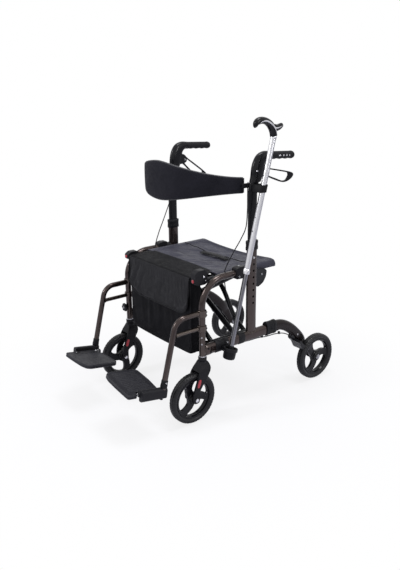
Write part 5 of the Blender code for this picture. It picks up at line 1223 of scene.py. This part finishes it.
def cane_handle():
    """Hooked grip with a short beak behind, and silver lines let into both faces."""
    neck = cane_point(CANE_TUBE_TOP + 0.0015)
    hook = tapered([(-0.0345, 1.0822, 0.003, 0.0026), (-0.035, 1.0845, 0.0066, 0.0056),
                    (-0.0342, 1.0905, 0.0094, 0.0082), (-0.03, 1.0985, 0.0114, 0.0106),
                    (-0.0195, 1.104, 0.0126, 0.0124), (-0.003, 1.1058, 0.0134, 0.0122),
                    (0.0165, 1.1015, 0.0138, 0.012), (0.0345, 1.0905, 0.0138, 0.0128),
                    (0.0465, 1.076, 0.0134, 0.0132), (0.0525, 1.062, 0.013, 0.013),
                    (neck.y, neck.z, 0.0128, 0.0128)], CANE_X, 2.2)
    beak = tapered([(0.042, 1.079, 0.008, 0.008), (0.056, 1.077, 0.0118, 0.0135),
                    (0.069, 1.0768, 0.0112, 0.012), (0.081, 1.0795, 0.01, 0.0108),
                    (0.0905, 1.0835, 0.0086, 0.0092), (0.096, 1.0855, 0.0064, 0.0074),
                    (0.0982, 1.0862, 0.003, 0.004)], CANE_X, 2.2)
    made = object_of("cane_grip", hook, GLOSS)
    carve(made, beak, operation="UNION")
    shell = BVHTree.FromObject(made, bpy.context.evaluated_depsgraph_get())
    lines = ([(-0.0262, 1.0915, 0.0006), (-0.015, 1.1, 0.0018), (0.0, 1.104, 0.0022),
              (0.017, 1.1005, 0.0023), (0.035, 1.0905, 0.0023), (0.049, 1.078, 0.0026),
              (0.0575, 1.066, 0.0024), (0.0605, 1.052, 0.001)],
             [(0.05, 1.077, 0.0022), (0.064, 1.0765, 0.0022), (0.078, 1.079, 0.0016),
              (0.09, 1.083, 0.0005)])
    for sign in (1, -1):
        strips = []
        for line in lines:
            loops = []
            for y, z, half in smooth(line, 6):
                rim = []
                for v in (-1.0, -0.4, 0.4, 1.0):
                    spot = Vector((CANE_X, y + half * v * 0.5, z + half * v)) + SHIFT
                    hit = shell.ray_cast(spot + ACROSS * sign * 0.03, -ACROSS * sign)[0]
                    rim.append((hit or spot) - SHIFT)
                out = [p + ACROSS * sign * (0.0004 if 0 < k < 3 else 0.0001) for k, p in enumerate(rim)]
                loops.append(out + [p - ACROSS * sign * 0.0012 for p in reversed(rim)])
            strips.append(rings(loops))
        piece(f"cane_inlay_{face_name(sign)}", merge(*strips), CHROME, "cane_upper", "left")
    settle(made, "cane_upper", ["cane_handle"])


def strap():
    """Webbing band round the cane and the post, with two rows of stitches."""
    face = SIDE_X + POST_WIDE / 2 + 0.0003
    low, high = 0.852, 0.879
    loops = []
    for z in (low, low + 0.0008, high - 0.0008, high):
        centre_y = cane_y(z)
        grow = -0.0006 if z in (low, high) else 0.0
        outline = [(face, -0.0145 - grow), (face + 0.006, -0.0155 - grow),
                   (CANE_X + 0.003, centre_y - 0.0152 - grow), (CANE_X + 0.0135 + grow, centre_y - 0.008),
                   (CANE_X + 0.014 + grow, centre_y + 0.008), (CANE_X + 0.003, centre_y + 0.016 + grow),
                   (face + 0.008, centre_y + 0.0165 + grow), (face, 0.0145 + grow)]
        loops.append([(x, y, z) for x, y in smooth(rounded(outline, 0.005, 2), 2, True)])
    along = (low - CANE_FOOT[1]) / CANE_AXIS.z
    hole = rod(cane_point(along - 0.03), cane_point(along + 0.07), 0.0112, 40, 0)
    piece("cane_band", rings(loops), WEBBING, "cane_strap", "left", ["cane_strap"], bevel=0.0005,
          cuts=[hole])
    edges = []
    for z in (low + 0.0035, high - 0.0035):
        for k in range(6):
            y = cane_y(z) - 0.006 + 0.0024 * k
            edges.append(box((CANE_X + 0.0136, y, z - 0.0003), (CANE_X + 0.0144, y + 0.0015, z + 0.0003),
                             0.0001))
    piece("cane_band_stitches", merge(*edges), THREAD, "cane_strap", "left")


def star_knob():
    """Six-lobed knob on the right front tube."""
    centre = Vector((SIDE_X, FRONT_TUBE_Y - FRONT_TUBE_R - 0.0003, 0.317))

    def lobed(k, angle):
        return 1.0 if k < 2 else 0.9 + 0.1 * math.cos(6 * angle)

    profile = [(0.0081, 0.0), (0.0081, 0.004), (0.0165, 0.0042), (0.0178, 0.0055), (0.018, 0.0075),
               (0.018, 0.0125), (0.0172, 0.0145), (0.015, 0.0157), (0.008, 0.016), (0.0072, 0.0152)]
    piece("knob_star", lathe(centre, -ALONG, profile, 96, reach=lobed), PLASTIC, "star_knob", "right",
          ["star_knob"])
    screw("star_knob", "right", centre - ALONG * 0.0152, -ALONG, 0.0048, 0.0018)


# Soft goods
def sheet_mesh(rows, cols, spot, scale):
    """A grid of points with its UVs in metres. spot gives the point at shares across and along."""
    points, faces, uv = [], [], []
    for j in range(rows + 1):
        for i in range(cols + 1):
            points.append(Vector(spot(i / cols, j / rows)))
            uv.append((i / cols * scale[0], j / rows * scale[1]))
    for j in range(rows):
        for i in range(cols):
            a = j * (cols + 1) + i
            faces.append((a, a + 1, a + cols + 2, a + cols + 1))
    return points, faces, uv


def relax(made, held, pressure=0.0, weight=0.0, slack=0.0, frames=22, cap=0.01, stiff=12.0):
    """Lets cloth settle on a mesh, held at some points, and keeps each move within a cap."""
    scene = bpy.context.scene
    rest = [v.co.copy() for v in made.data.vertices]
    if held:
        made.vertex_groups.new(name="held").add(held, 1.0, "REPLACE")
    cloth = made.modifiers.new("cloth", "CLOTH")
    rules = cloth.settings
    rules.quality = 6
    rules.mass = 0.25
    rules.tension_stiffness = stiff
    rules.compression_stiffness = stiff
    rules.shear_stiffness = 4.0
    rules.bending_stiffness = 0.35
    rules.shrink_min = -slack
    rules.effector_weights.gravity = weight
    if held:
        rules.vertex_group_mass = "held"
    if pressure:
        rules.use_pressure = True
        rules.uniform_pressure_force = pressure
    cloth.collision_settings.use_collision = False
    cloth.point_cache.frame_start = 1
    cloth.point_cache.frame_end = frames
    for number in range(1, frames + 1):
        scene.frame_set(number)
    drawn = made.evaluated_get(bpy.context.evaluated_depsgraph_get()).data
    settled = [v.co.copy() for v in drawn.vertices]
    made.modifiers.remove(cloth)
    scene.frame_set(1)
    for vertex, before, after in zip(made.data.vertices, rest, settled):
        step = after - before
        if step.length > cap:
            step = step.normalized() * cap
        vertex.co = before + step
    made.data.update()
    return made


def thicken(made, thickness, offset=-1.0):
    """Gives a sheet its thickness."""
    shell = made.modifiers.new("cloth_thickness", "SOLIDIFY")
    shell.thickness = thickness
    shell.offset = offset
    return made


def seat_height(x, share_y):
    """Height of the seat's top face."""
    share = min(1.0, abs(x) / SEAT_WRAP_X)
    sag = 0.012 * (1 - share * share) * (1.0 - 0.35 * share_y * share_y)
    return 0.56 - sag


def strap_height(x):
    """Height of the lift strap's lower face, which bows up between its sewn ends."""
    share = (x - STRAP_X) / STRAP_HALF
    return seat_height(x, 0) + 0.0014 + 0.006 * max(0.0, 1 - share * share) ** 1.5


def fold(x, y, seed, long, high, turn):
    """Soft folds: noise drawn out along one direction."""
    c, s = math.cos(turn), math.sin(turn)
    u, v = (x * c + y * s) / long, (-x * s + y * c) * 22
    return high * noise.noise(Vector((u, v, seed)))


def crease(x, y, seed, long, high, turn):
    """Sharper folds: narrow ridges between wide slack troughs."""
    share = fold(x, y, seed, long, 1.0, turn)
    return high * (0.55 - abs(share) ** 0.7)


def seat():
    """Sling seat that wraps over both rails, with hems front and back and slack folds between."""
    wrap = 0.0195
    half = PIVOT_X
    deep = SEAT_BACK - SEAT_FRONT
    cols, rows = 96, 60

    def spot(s, t):
        """A point of the top face, from shares of the way across and back."""
        across = 2 * s - 1
        share_y = 2 * t - 1
        flat = half + wrap * 1.9
        x = across * flat
        y = SEAT_FRONT + deep * t
        bow = 0.006 * (1 - min(1.0, abs(x) / half) ** 2)
        y += bow * (1 - 2 * t) ** 3
        if abs(x) <= half:
            z = seat_height(x, share_y)
            calm = (1 - (x / half) ** 4) * (1 - abs(share_y) ** 6)
            z += calm * (crease(x, y, 3.1, 0.2, 0.0085, 0.62) + crease(x, y, 8.4, 0.12, 0.0048, -0.5))
            for seam_y in (0.052, -0.062):
                z -= 0.0011 * math.exp(-((y - seam_y) / 0.0022) ** 2)
            return Vector((x, y, z))
        angle = (abs(x) - half) / wrap
        side = math.copysign(1, x)
        return Vector((side * (half + 0.0166 * math.sin(angle)), y, 0.5405 + 0.0195 * math.cos(angle)))

    shape = sheet_mesh(rows, cols, spot, (0.52, 0.298))
    made = object_of("seat_sling", shape[:2], SEAT, uv=shape[2])
    held = []
    for vertex in made.data.vertices:
        x, y, _ = vertex.co - SHIFT
        if abs(x) > 0.2 or y < SEAT_FRONT + 0.012 or y > SEAT_BACK - 0.012:
            held.append(vertex.index)
    relax(made, held, weight=0.35, slack=0.012, cap=0.006, frames=20)
    for vertex in made.data.vertices:
        x, y, z = vertex.co - SHIFT
        if abs(x) < half:
            vertex.co.z = max(z, seat_height(x, y / (deep / 2)) - 0.0038)
    thicken(made, 0.0032)
    drawn = finish_cloth(made, "seat_rail_right", ["seat_fabric"])
    hems = []
    for t in (0.0, 1.0):
        path = [spot(0.085 + 0.83 * i / 80, t) + Vector((0, 0.0016 - 0.0032 * t, -0.0014))
                for i in range(81)]
        hems.append(sweep(path, oval(0.0042, 0.0026, 16), ALONG))
    hem = piece("seat_hems", merge(*hems), SEAT, "seat_rail_right")
    seam_share = (SEAT_SEAM_Y - SEAT_FRONT) / deep
    path = [spot(0.09 + 0.82 * i / 120, seam_share) + UP * 0.0004 for i in range(121)]
    tape = sweep(path, oval(0.001, 0.0017, 12), ALONG)
    seam = piece("seat_seam", tape, BINDING, "seat_rail_right")
    stitches = []
    for line_y in (SEAT_FRONT + 0.014, SEAT_BACK - 0.014, 0.056, 0.048, -0.058, -0.066):
        share = (line_y - SEAT_FRONT) / deep
        stitches += stitch_row([spot(0.09 + 0.82 * i / 160, share) for i in range(161)], UP)
    row = piece("seat_stitches", merge(*stitches), THREAD, "seat_rail_right")
    for soft in (drawn, hem, seam, row):
        crumple(soft)


def stitch_row(path, normal):
    """Short raised stitches along a path, every other step."""
    out = []
    for a, b in zip(path[::2], path[1::2]):
        ahead = (b - a).normalized()
        side = ahead.cross(normal).normalized() * 0.00035
        lift = normal * 0.0003
        low = [a - side - lift, a + side - lift, b + side - lift, b - side - lift]
        high = [a + side * -0.6 + lift, a + side * 0.6 + lift, b + side * 0.6 + lift, b - side * 0.6 + lift]
        out.append(rings([low, high]))
    return out


def crumple(made):
    """Gives a soft piece a mesh of its own."""
    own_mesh(made)
    return made


def finish_cloth(made, body, replaces=()):
    """Turns the modifiers of a cloth piece into its mesh, and settles it."""
    drawn = bpy.data.meshes.new_from_object(made.evaluated_get(bpy.context.evaluated_depsgraph_get()))
    made.modifiers.clear()
    made.data = drawn
    drawn.shade_smooth()
    drawn.set_sharp_from_angle(angle=math.radians(50))
    return settle(made, body, replaces)


def lift_strap():
    """Webbing strap with a stitched cross at both ends."""
    count = 60
    section = [(-0.0125, 0.0002), (-0.012, 0.0), (0.012, 0.0), (0.0125, 0.0002), (0.0125, 0.0018),
               (0.012, 0.0022), (-0.012, 0.0022), (-0.0125, 0.0018)]
    loops, uv = [], []
    for i in range(count + 1):
        x = STRAP_X + STRAP_HALF * (2 * i / count - 1)
        loops.append([(x, STRAP_Y + v, strap_height(x) + w) for v, w in section])
        uv += [(x, v) for v, _ in section]
    made = object_of("pull_strap", rings(loops), WEBBING, uv=uv, sharp=60)
    settle(made, "seat_rail_right", ["lift_strap"])
    crumple(made)
    rows = []
    corners = [Vector(p) for p in ((-0.01, 0.002), (0.01, 0.002), (-0.01, 0.02), (0.01, 0.02))]
    for end in (-1, 1):
        for a, b in ((0, 3), (1, 2), (0, 1), (2, 3), (0, 2), (1, 3)):
            path = []
            for k in range(13):
                spot = corners[a].lerp(corners[b], k / 12)
                x = STRAP_X + end * (0.08 - spot.y)
                path.append(Vector((x, STRAP_Y + spot.x, strap_height(x) + 0.0022)))
            rows += stitch_row(path, UP)
    crumple(piece("pull_strap_stitches", merge(*rows), THREAD, "seat_rail_right"))


def even_ring(corners, count):
    """Points at even steps round a closed outline, and the outline's length."""
    corners = [Vector(p) for p in corners]
    edges = list(zip(corners, corners[1:] + corners[:1]))
    length = sum((b - a).length for a, b in edges)
    ring = []
    for i in range(count):
        goal = length * i / count
        for a, b in edges:
            step = (b - a).length
            if goal <= step:
                ring.append(a.lerp(b, goal / step if step else 0))
                break
            goal -= step
    return ring, length


def bag():
    """Open bag shell with slack faces, and the band that hangs it from the seat's front edge."""
    count, levels = 144, 40
    corners = [(-BAG_HALF, BAG_FRONT), (BAG_HALF, BAG_FRONT), (BAG_HALF, BAG_BACK), (-BAG_HALF, BAG_BACK)]
    ring, length = even_ring(rounded(corners, 0.01, 6), count)
    points, faces, uv = [], [], []
    for j in range(levels + 1):
        t = j / levels
        z = BAG_FOOT + (BAG_TOP - 0.006 - BAG_FOOT) * t
        for i, (x, y) in enumerate(ring):
            slack = math.sin(math.pi * min(1.0, t * 1.15)) * 0.8 + 0.2
            front = 1 if y < (BAG_FRONT + BAG_BACK) / 2 else -1
            wave = fold(x, z, 5.5, 0.3, 0.006, 1.25) + fold(x, z, 2.2, 0.1, 0.003, -0.7)
            depth = -0.0015 * front + wave * slack * front * (1 - abs(x / BAG_HALF) ** 8)
            sag = 0.004 * (1 - (x / BAG_HALF) ** 2) * (1 - t) ** 3
            side_wave = fold(y * 3, z, 9.1, 0.25, 0.0045, 0.9) if abs(x) > BAG_HALF - 0.004 else 0.0
            points.append(Vector((x - math.copysign(0.0015 + abs(side_wave), x), y - depth * 0.6, z - sag)))
            uv.append((i / count * length, z))
    for j in range(levels):
        for i in range(count):
            k = (i + 1) % count
            faces.append((j * count + i, j * count + k, (j + 1) * count + k, (j + 1) * count + i))
    faces.append(tuple(range(count)))
    made = object_of("bag_shell", (points, faces), BAG, uv=uv)
    held = []
    for vertex in made.data.vertices:
        x, _, z = vertex.co - SHIFT
        corner = abs(abs(x) - BAG_HALF) < 0.006 and z > BAG_TOP - 0.05
        if z > BAG_TOP - 0.02 or z < BAG_FOOT + 0.004 or corner:
            held.append(vertex.index)
    relax(made, held, weight=0.5, slack=0.01, cap=0.0045, frames=20)
    thicken(made, 0.0016, 0.0)
    shell = finish_cloth(made, "right_frame", ["bag"])
    half = BAG_HALF - 0.002

    def band(s, t):
        x = (2 * s - 1) * half
        start, end = BAG_FRONT + 0.0005, SEAT_FRONT + 0.01 + 0.006 * (1 - (x / half) ** 2)
        y = start + (end - start) * t
        z = BAG_TOP + 0.0078 + (0.0012 + fold(x, y, 6.6, 0.2, 0.0016, 0.3)) * math.sin(math.pi * t)
        if t < 0.08:
            z -= 0.004 * (1 - t / 0.08) ** 2
        for seam in (0.33, 0.4):
            z -= 0.0007 * math.exp(-((t - seam) / 0.012) ** 2)
        return Vector((x, y, min(z, 0.56)))

    shape = sheet_mesh(36, 90, band, (0.406, 0.105))
    strip = object_of("bag_band", shape[:2], BAG, uv=shape[2])
    thicken(strip, 0.002)
    strip = finish_cloth(strip, "right_frame")
    rows = []
    for t in (0.3, 0.43, 0.9):
        rows += stitch_row([band(i / 150, t) + UP * 0.0002 for i in range(151)], UP)
    seams = []
    for x in (-BAG_HALF + 0.0035, BAG_HALF - 0.0035):
        seam = [(x, BAG_FRONT + 0.0045, BAG_FOOT + 0.01 + 0.0281 * k) for k in range(11)]
        seams.append(sweep(seam, circle(0.0018, 10)))
    foot = []
    for i in range(41):
        x = (2 * i / 40 - 1) * (BAG_HALF - 0.005)
        foot.append((x, BAG_FRONT + 0.003, BAG_FOOT + 0.0015 - 0.004 * (1 - (x / BAG_HALF) ** 2)))
    seams.append(sweep(foot, circle(0.0018, 10)))
    piping = piece("bag_piping", merge(*seams), BINDING, "right_frame")
    row = piece("bag_stitches", merge(*rows), THREAD, "right_frame")
    for soft in (shell, strip, piping, row):
        crumple(soft)
    flap()


def flap():
    """Front flap with rounded lower corners, bound edges and soft folds."""
    top, drop, half, corner = BAG_TOP + 0.004, 0.15, BAG_HALF - 0.003, 0.07

    def low_edge(x):
        inside = abs(x) - (half - corner)
        if inside <= 0:
            return top - drop
        return top - drop + corner - math.sqrt(max(0.0, corner ** 2 - inside ** 2))

    def spot(s, t):
        x = (2 * s - 1) * half
        bottom = low_edge(x)
        z = top + (bottom - top) * t
        share = (top - z) / drop
        y = BAG_FRONT - 0.0012 - 0.003 * math.sin(math.pi * min(1, share)) ** 1.2
        calm = math.sin(math.pi * min(1.0, share * 1.05))
        y -= abs(fold(x, z, 4.4, 0.28, 0.012, 1.05)) * calm
        y -= 0.004 * (0.5 + 0.5 * math.sin(14 * (x + 0.55 * z))) * calm * (1 - (x / half) ** 6)
        y += 0.0022 * (1 - min(1.0, share * 12)) ** 2
        return Vector((x, y, z))

    shape = sheet_mesh(44, 110, spot, (0.404, 0.15))
    made = object_of("flap_sheet", shape[:2], FLAP, uv=shape[2])
    held = []
    for vertex in made.data.vertices:
        x, _, z = vertex.co - SHIFT
        if z > top - 0.01 or z < low_edge(x) + 0.006:
            held.append(vertex.index)
    relax(made, held, weight=0.4, slack=0.014, cap=0.0035, frames=20)
    for vertex in made.data.vertices:
        vertex.co.y = min(vertex.co.y, BAG_FRONT + SHIFT.y - 0.0006)
    thicken(made, 0.0018)
    sheet = finish_cloth(made, "bag_flap", ["bag_flap"])
    edge = [spot(0.0, 0.1 + 0.9 * k / 16) for k in range(16)]
    edge += [spot(k / 120, 1.0) for k in range(121)]
    edge += [spot(1.0, 1.0 - 0.9 * k / 16) for k in range(1, 17)]
    tape = piece("flap_binding", sweep(edge, oval(0.0018, 0.0026, 12)), BINDING, "bag_flap")
    inner = []
    for i in range(151):
        s = 0.03 + 0.94 * i / 150
        x = (2 * s - 1) * half
        t = 1.0 - 0.011 / max(0.05, top - low_edge(x))
        inner.append(spot(s, t) + Vector((0, -0.0002, 0)))
    rows = stitch_row(inner, -ALONG)
    row = piece("flap_stitches", merge(*rows), THREAD, "bag_flap")
    for soft in (sheet, tape, row):
        crumple(soft)


def backrest_station(angle):
    """A point of the pad's middle line, seen from above, and half the pad's height there."""
    c, s = math.cos(angle), math.sin(angle)
    x = 0.22 * math.copysign(abs(c) ** (2 / 2.85), c)
    y = -0.02 - 0.224 * abs(s) ** (2 / 1.755)
    share = min(1.0, abs(x) / 0.22)
    half = 0.027 + 0.044 * (1 - share ** 1.58)
    return Vector((x, y, BACKREST_PIN_Z + 0.078 * (-0.02 - y))), half


def backrest():
    """Padded band between the posts: a crowned shell with bound edges and end links."""
    count = 96
    stations = [backrest_station(math.pi * (i / count)) for i in range(count + 1)]
    front = [(0.3, 1.0), (0.62, 0.985), (0.88, 0.94), (1.0, 0.86), (1.08, 0.6), (1.12, 0.3)]
    back = [(-0.3, -1.0), (-0.5, -0.97), (-0.66, -0.88), (-0.78, -0.55)]
    section = front + [(1.14, 0.0)] + flipped(front) + back + [(-0.84, 0.0)] + flipped(back)
    loops, uv = [], []
    edges = {"top": [], "foot": [], "top_row": [], "foot_row": []}
    run = 0.0
    for i, (spot, half) in enumerate(stations):
        ahead = stations[min(i + 1, count)][0] - stations[max(i - 1, 0)][0]
        run += ahead.length / 2
        normal = Vector((ahead.y, -ahead.x, 0)).normalized()
        share = i / count
        thick = 0.0062 * (0.6 + 0.4 * math.sin(math.pi * share) ** 0.5)
        if i in (0, count):
            thick *= 0.8
        loop = []
        for u, v in section:
            ripple = 0.0
            if u > 0.8:
                ripple = (0.0016 * noise.noise(Vector((run * 34, v * 0.8, 1.7)))
                          + 0.001 * noise.noise(Vector((run * 95, v * 0.6, 4.1))))
            loop.append(spot + normal * (thick * u + ripple) + UP * (half * v))
            uv.append((run, v * half + (0.2 if u < 0 else 0.0)))
        loops.append(loop)
        for key, lift in (("top", UP), ("foot", -UP)):
            edges[key].append(spot + normal * thick * 0.25 + lift * (half + 0.0003))
            edges[key + "_row"].append(spot + normal * (thick * 1.03) + lift * (half * 0.86))
    made = object_of("backrest_shell", rings(loops), PAD, uv=uv, sharp=60)
    # Both edges of the section are held, and the rings near both ends
    size = len(section)
    held = [i for i in range(len(made.data.vertices)) if i % size in (0, 1, 11, 12, 13, 21)
            or i < 3 * size or i >= (count - 2) * size]
    relax(made, held, pressure=3.0, cap=0.0035, frames=18)
    smoother = made.modifiers.new("finer", "SUBSURF")
    smoother.levels = 1
    smoother.render_levels = 1
    pad = finish_cloth(made, "backrest", ["backrest_pad"])
    binding = [sweep(edges[key], oval(0.0022, 0.003, 14), None) for key in ("top", "foot")]
    for i in (0, count):
        spot, half = stations[i]
        side = 1 if i == 0 else -1
        binding.append(sweep([spot + Vector((side * 0.0002, 0.0008, half * v))
                              for v in (-1, -0.6, -0.2, 0.2, 0.6, 1)], oval(0.0062, 0.002, 14), ACROSS))
    tape = piece("backrest_binding", merge(*binding), PIPING, "backrest")
    rows = []
    for key in ("top_row", "foot_row"):
        line = [Vector(p) for p in smooth(edges[key], 3)]
        rows += stitch_row(line[12:-12], Vector((0, -1, 0)))
    row = piece("backrest_stitches", merge(*rows), THREAD, "backrest")
    outline = [(-0.034, -0.0085), (0.001, -0.0085), (0.006, -0.0062), (0.0085, 0.0), (0.006, 0.0062),
               (0.001, 0.0085), (-0.034, 0.0085)]
    outline = rounded([(y, BACKREST_PIN_Z + z) for y, z in outline], 0.003, 3)
    links = []
    for sign in (1, -1):
        face = sign * (LINK_FACE - 0.0003)
        links.append(slab(outline, face - sign * 0.0078, face))
        low_x, high_x = sorted((face - sign * 0.022, face - sign * 0.002))
        links.append(box((low_x, -0.032, BACKREST_PIN_Z - 0.007), (high_x, -0.018, BACKREST_PIN_Z + 0.007)))
    bars = piece("backrest_links", merge(*links), PLASTIC, "backrest", bevel=0.001)
    for soft in (pad, tape, row, bars):
        crumple(soft)


# Camera, light and floor
def camera():
    """The photograph's camera, as it was fitted to the wheels and the frame."""
    azimuth, elevation, roll = (math.radians(a) for a in (51.81, 18.24, -0.66))
    back = Vector((math.sin(azimuth) * math.cos(elevation), -math.cos(azimuth) * math.cos(elevation),
                   math.sin(elevation)))
    right = (-back).cross(UP).normalized()
    up = right.cross(-back)
    c, s = math.cos(roll), math.sin(roll)
    right, up = right * c + up * s, up * c - right * s
    made = bpy.data.objects.new("photo_camera", bpy.data.cameras.new("photo_camera"))
    made.data.lens = 39.5
    made.data.sensor_width = 36
    made.data.clip_end = 50
    matrix = Matrix((right, up, back)).transposed().to_4x4()
    matrix.translation = Vector((1.9319, -1.5727, 1.2454)) + SHIFT
    made.matrix_world = matrix
    bpy.context.scene.collection.objects.link(made)
    bpy.context.scene.camera = made


def lamp(name, spot, target, size, power):
    """A soft rectangular lamp that faces a target."""
    made = bpy.data.objects.new(name, bpy.data.lights.new(name, "AREA"))
    made.data.shape = "RECTANGLE"
    made.data.size, made.data.size_y = size
    made.data.energy = power
    made.location = Vector(spot) + SHIFT
    way = Vector(target) - Vector(spot)
    made.rotation_euler = way.to_track_quat("-Z", "Y").to_euler()
    bpy.context.scene.collection.objects.link(made)


def studio():
    """Three soft lamps in a white room that is dimmer as light than it looks."""
    target = (0, 0, 0.5)
    lamp("key_softbox", (-0.6, -2.6, 2.3), target, (0.45, 1.1), 36)
    lamp("top_softbox", (0.4, 0.2, 3.0), target, (0.7, 1.2), 34)
    lamp("fill_softbox", (2.8, 0.9, 1.6), target, (0.35, 1.3), 15)
    world = bpy.data.worlds.new("studio")
    bpy.context.scene.world = world
    world.use_nodes = True
    nodes, link = world.node_tree.nodes, world.node_tree.links.new
    back = nodes["Background"]
    back.inputs["Color"].default_value = (1.0, 1.0, 1.0, 1.0)
    path = nodes.new("ShaderNodeLightPath")
    total = path.outputs["Is Camera Ray"]
    for ray in ("Is Glossy Ray", "Is Transmission Ray"):
        add = nodes.new("ShaderNodeMath")
        add.operation = "MAXIMUM"
        link(total, add.inputs[0])
        link(path.outputs[ray], add.inputs[1])
        total = add.outputs[0]
    level = nodes.new("ShaderNodeMapRange")
    level.inputs["To Min"].default_value = 0.45
    level.inputs["To Max"].default_value = 1.0
    link(total, level.inputs["Value"])
    link(level.outputs["Result"], back.inputs["Strength"])
    bpy.context.scene.view_settings.view_transform = "Standard"


def floor():
    """Pale paper that keeps the shadow near the chair and runs out to plain white."""
    data = bpy.data.meshes.new("studio_floor")
    data.from_pydata([(x, y, -0.0002) for x, y in ((-60, -60), (60, -60), (60, 60), (-60, 60))], [],
                     [(0, 1, 2, 3)])
    made = bpy.data.objects.new("studio_floor", data)
    paper = bpy.data.materials.new("pale_paper")
    paper.use_nodes = True
    nodes, link = paper.node_tree.nodes, paper.node_tree.links.new
    shader = nodes["Principled BSDF"]
    shader.inputs["Base Color"].default_value = (0.9, 0.9, 0.98, 1.0)
    shader.inputs["Roughness"].default_value = 0.9
    shader.inputs["Specular IOR Level"].default_value = 0.0
    white = nodes.new("ShaderNodeEmission")
    path = nodes.new("ShaderNodeLightPath")
    place = nodes.new("ShaderNodeTexCoord")
    length = nodes.new("ShaderNodeVectorMath")
    length.operation = "LENGTH"
    link(place.outputs["Object"], length.inputs[0])
    fade = nodes.new("ShaderNodeMapRange")
    fade.interpolation_type = "SMOOTHSTEP"
    for key, number in (("From Min", 0.4), ("From Max", 1.15), ("To Min", FLOOR_GLOW), ("To Max", 1.0)):
        fade.inputs[key].default_value = number
    link(length.outputs["Value"], fade.inputs["Value"])
    seen = nodes.new("ShaderNodeMath")
    seen.operation = "MULTIPLY"
    link(path.outputs["Is Camera Ray"], seen.inputs[0])
    link(fade.outputs["Result"], seen.inputs[1])
    mix = nodes.new("ShaderNodeMixShader")
    link(seen.outputs[0], mix.inputs[0])
    link(shader.outputs[0], mix.inputs[1])
    link(white.outputs[0], mix.inputs[2])
    link(mix.outputs[0], nodes["Material Output"].inputs["Surface"])
    data.materials.append(paper)
    bpy.context.scene.collection.objects.link(made)


def build():
    """Camera, light and floor, then both sides, then what stands between them."""
    camera()
    studio()
    floor()
    for side in SIDES:
        base_rail(side)
        upright(side)
        front_tube(side)
        rear_leg(side)
        brake_shoe(side)
        brake_cable(side)
        brake_lever(side)
        handle(side)
        for end, centre, turn in (("rear", (REAR_WHEEL_X, REAR_WHEEL_Y, WHEEL_R), 72),
                                  ("front", (CASTER_X, CASTER_Y, WHEEL_R), 87 if side == "left" else 30)):
            tyre(f"{end}_tread_{side}", centre, f"{end}_wheel_{side}", side, f"{end}_tyre_{side}")
            rim(f"{end}_spokes_{side}", centre, turn, f"{end}_wheel_{side}", side, f"{end}_rim_{side}")
        caster(side)
        brace_arm(side)
        seat_rail(side)
        legrest(side)
        footplate(side)
    brace_bolt()
    cane()
    star_knob()
    seat()
    lift_strap()
    bag()
    backrest()
    make_screws()


build()
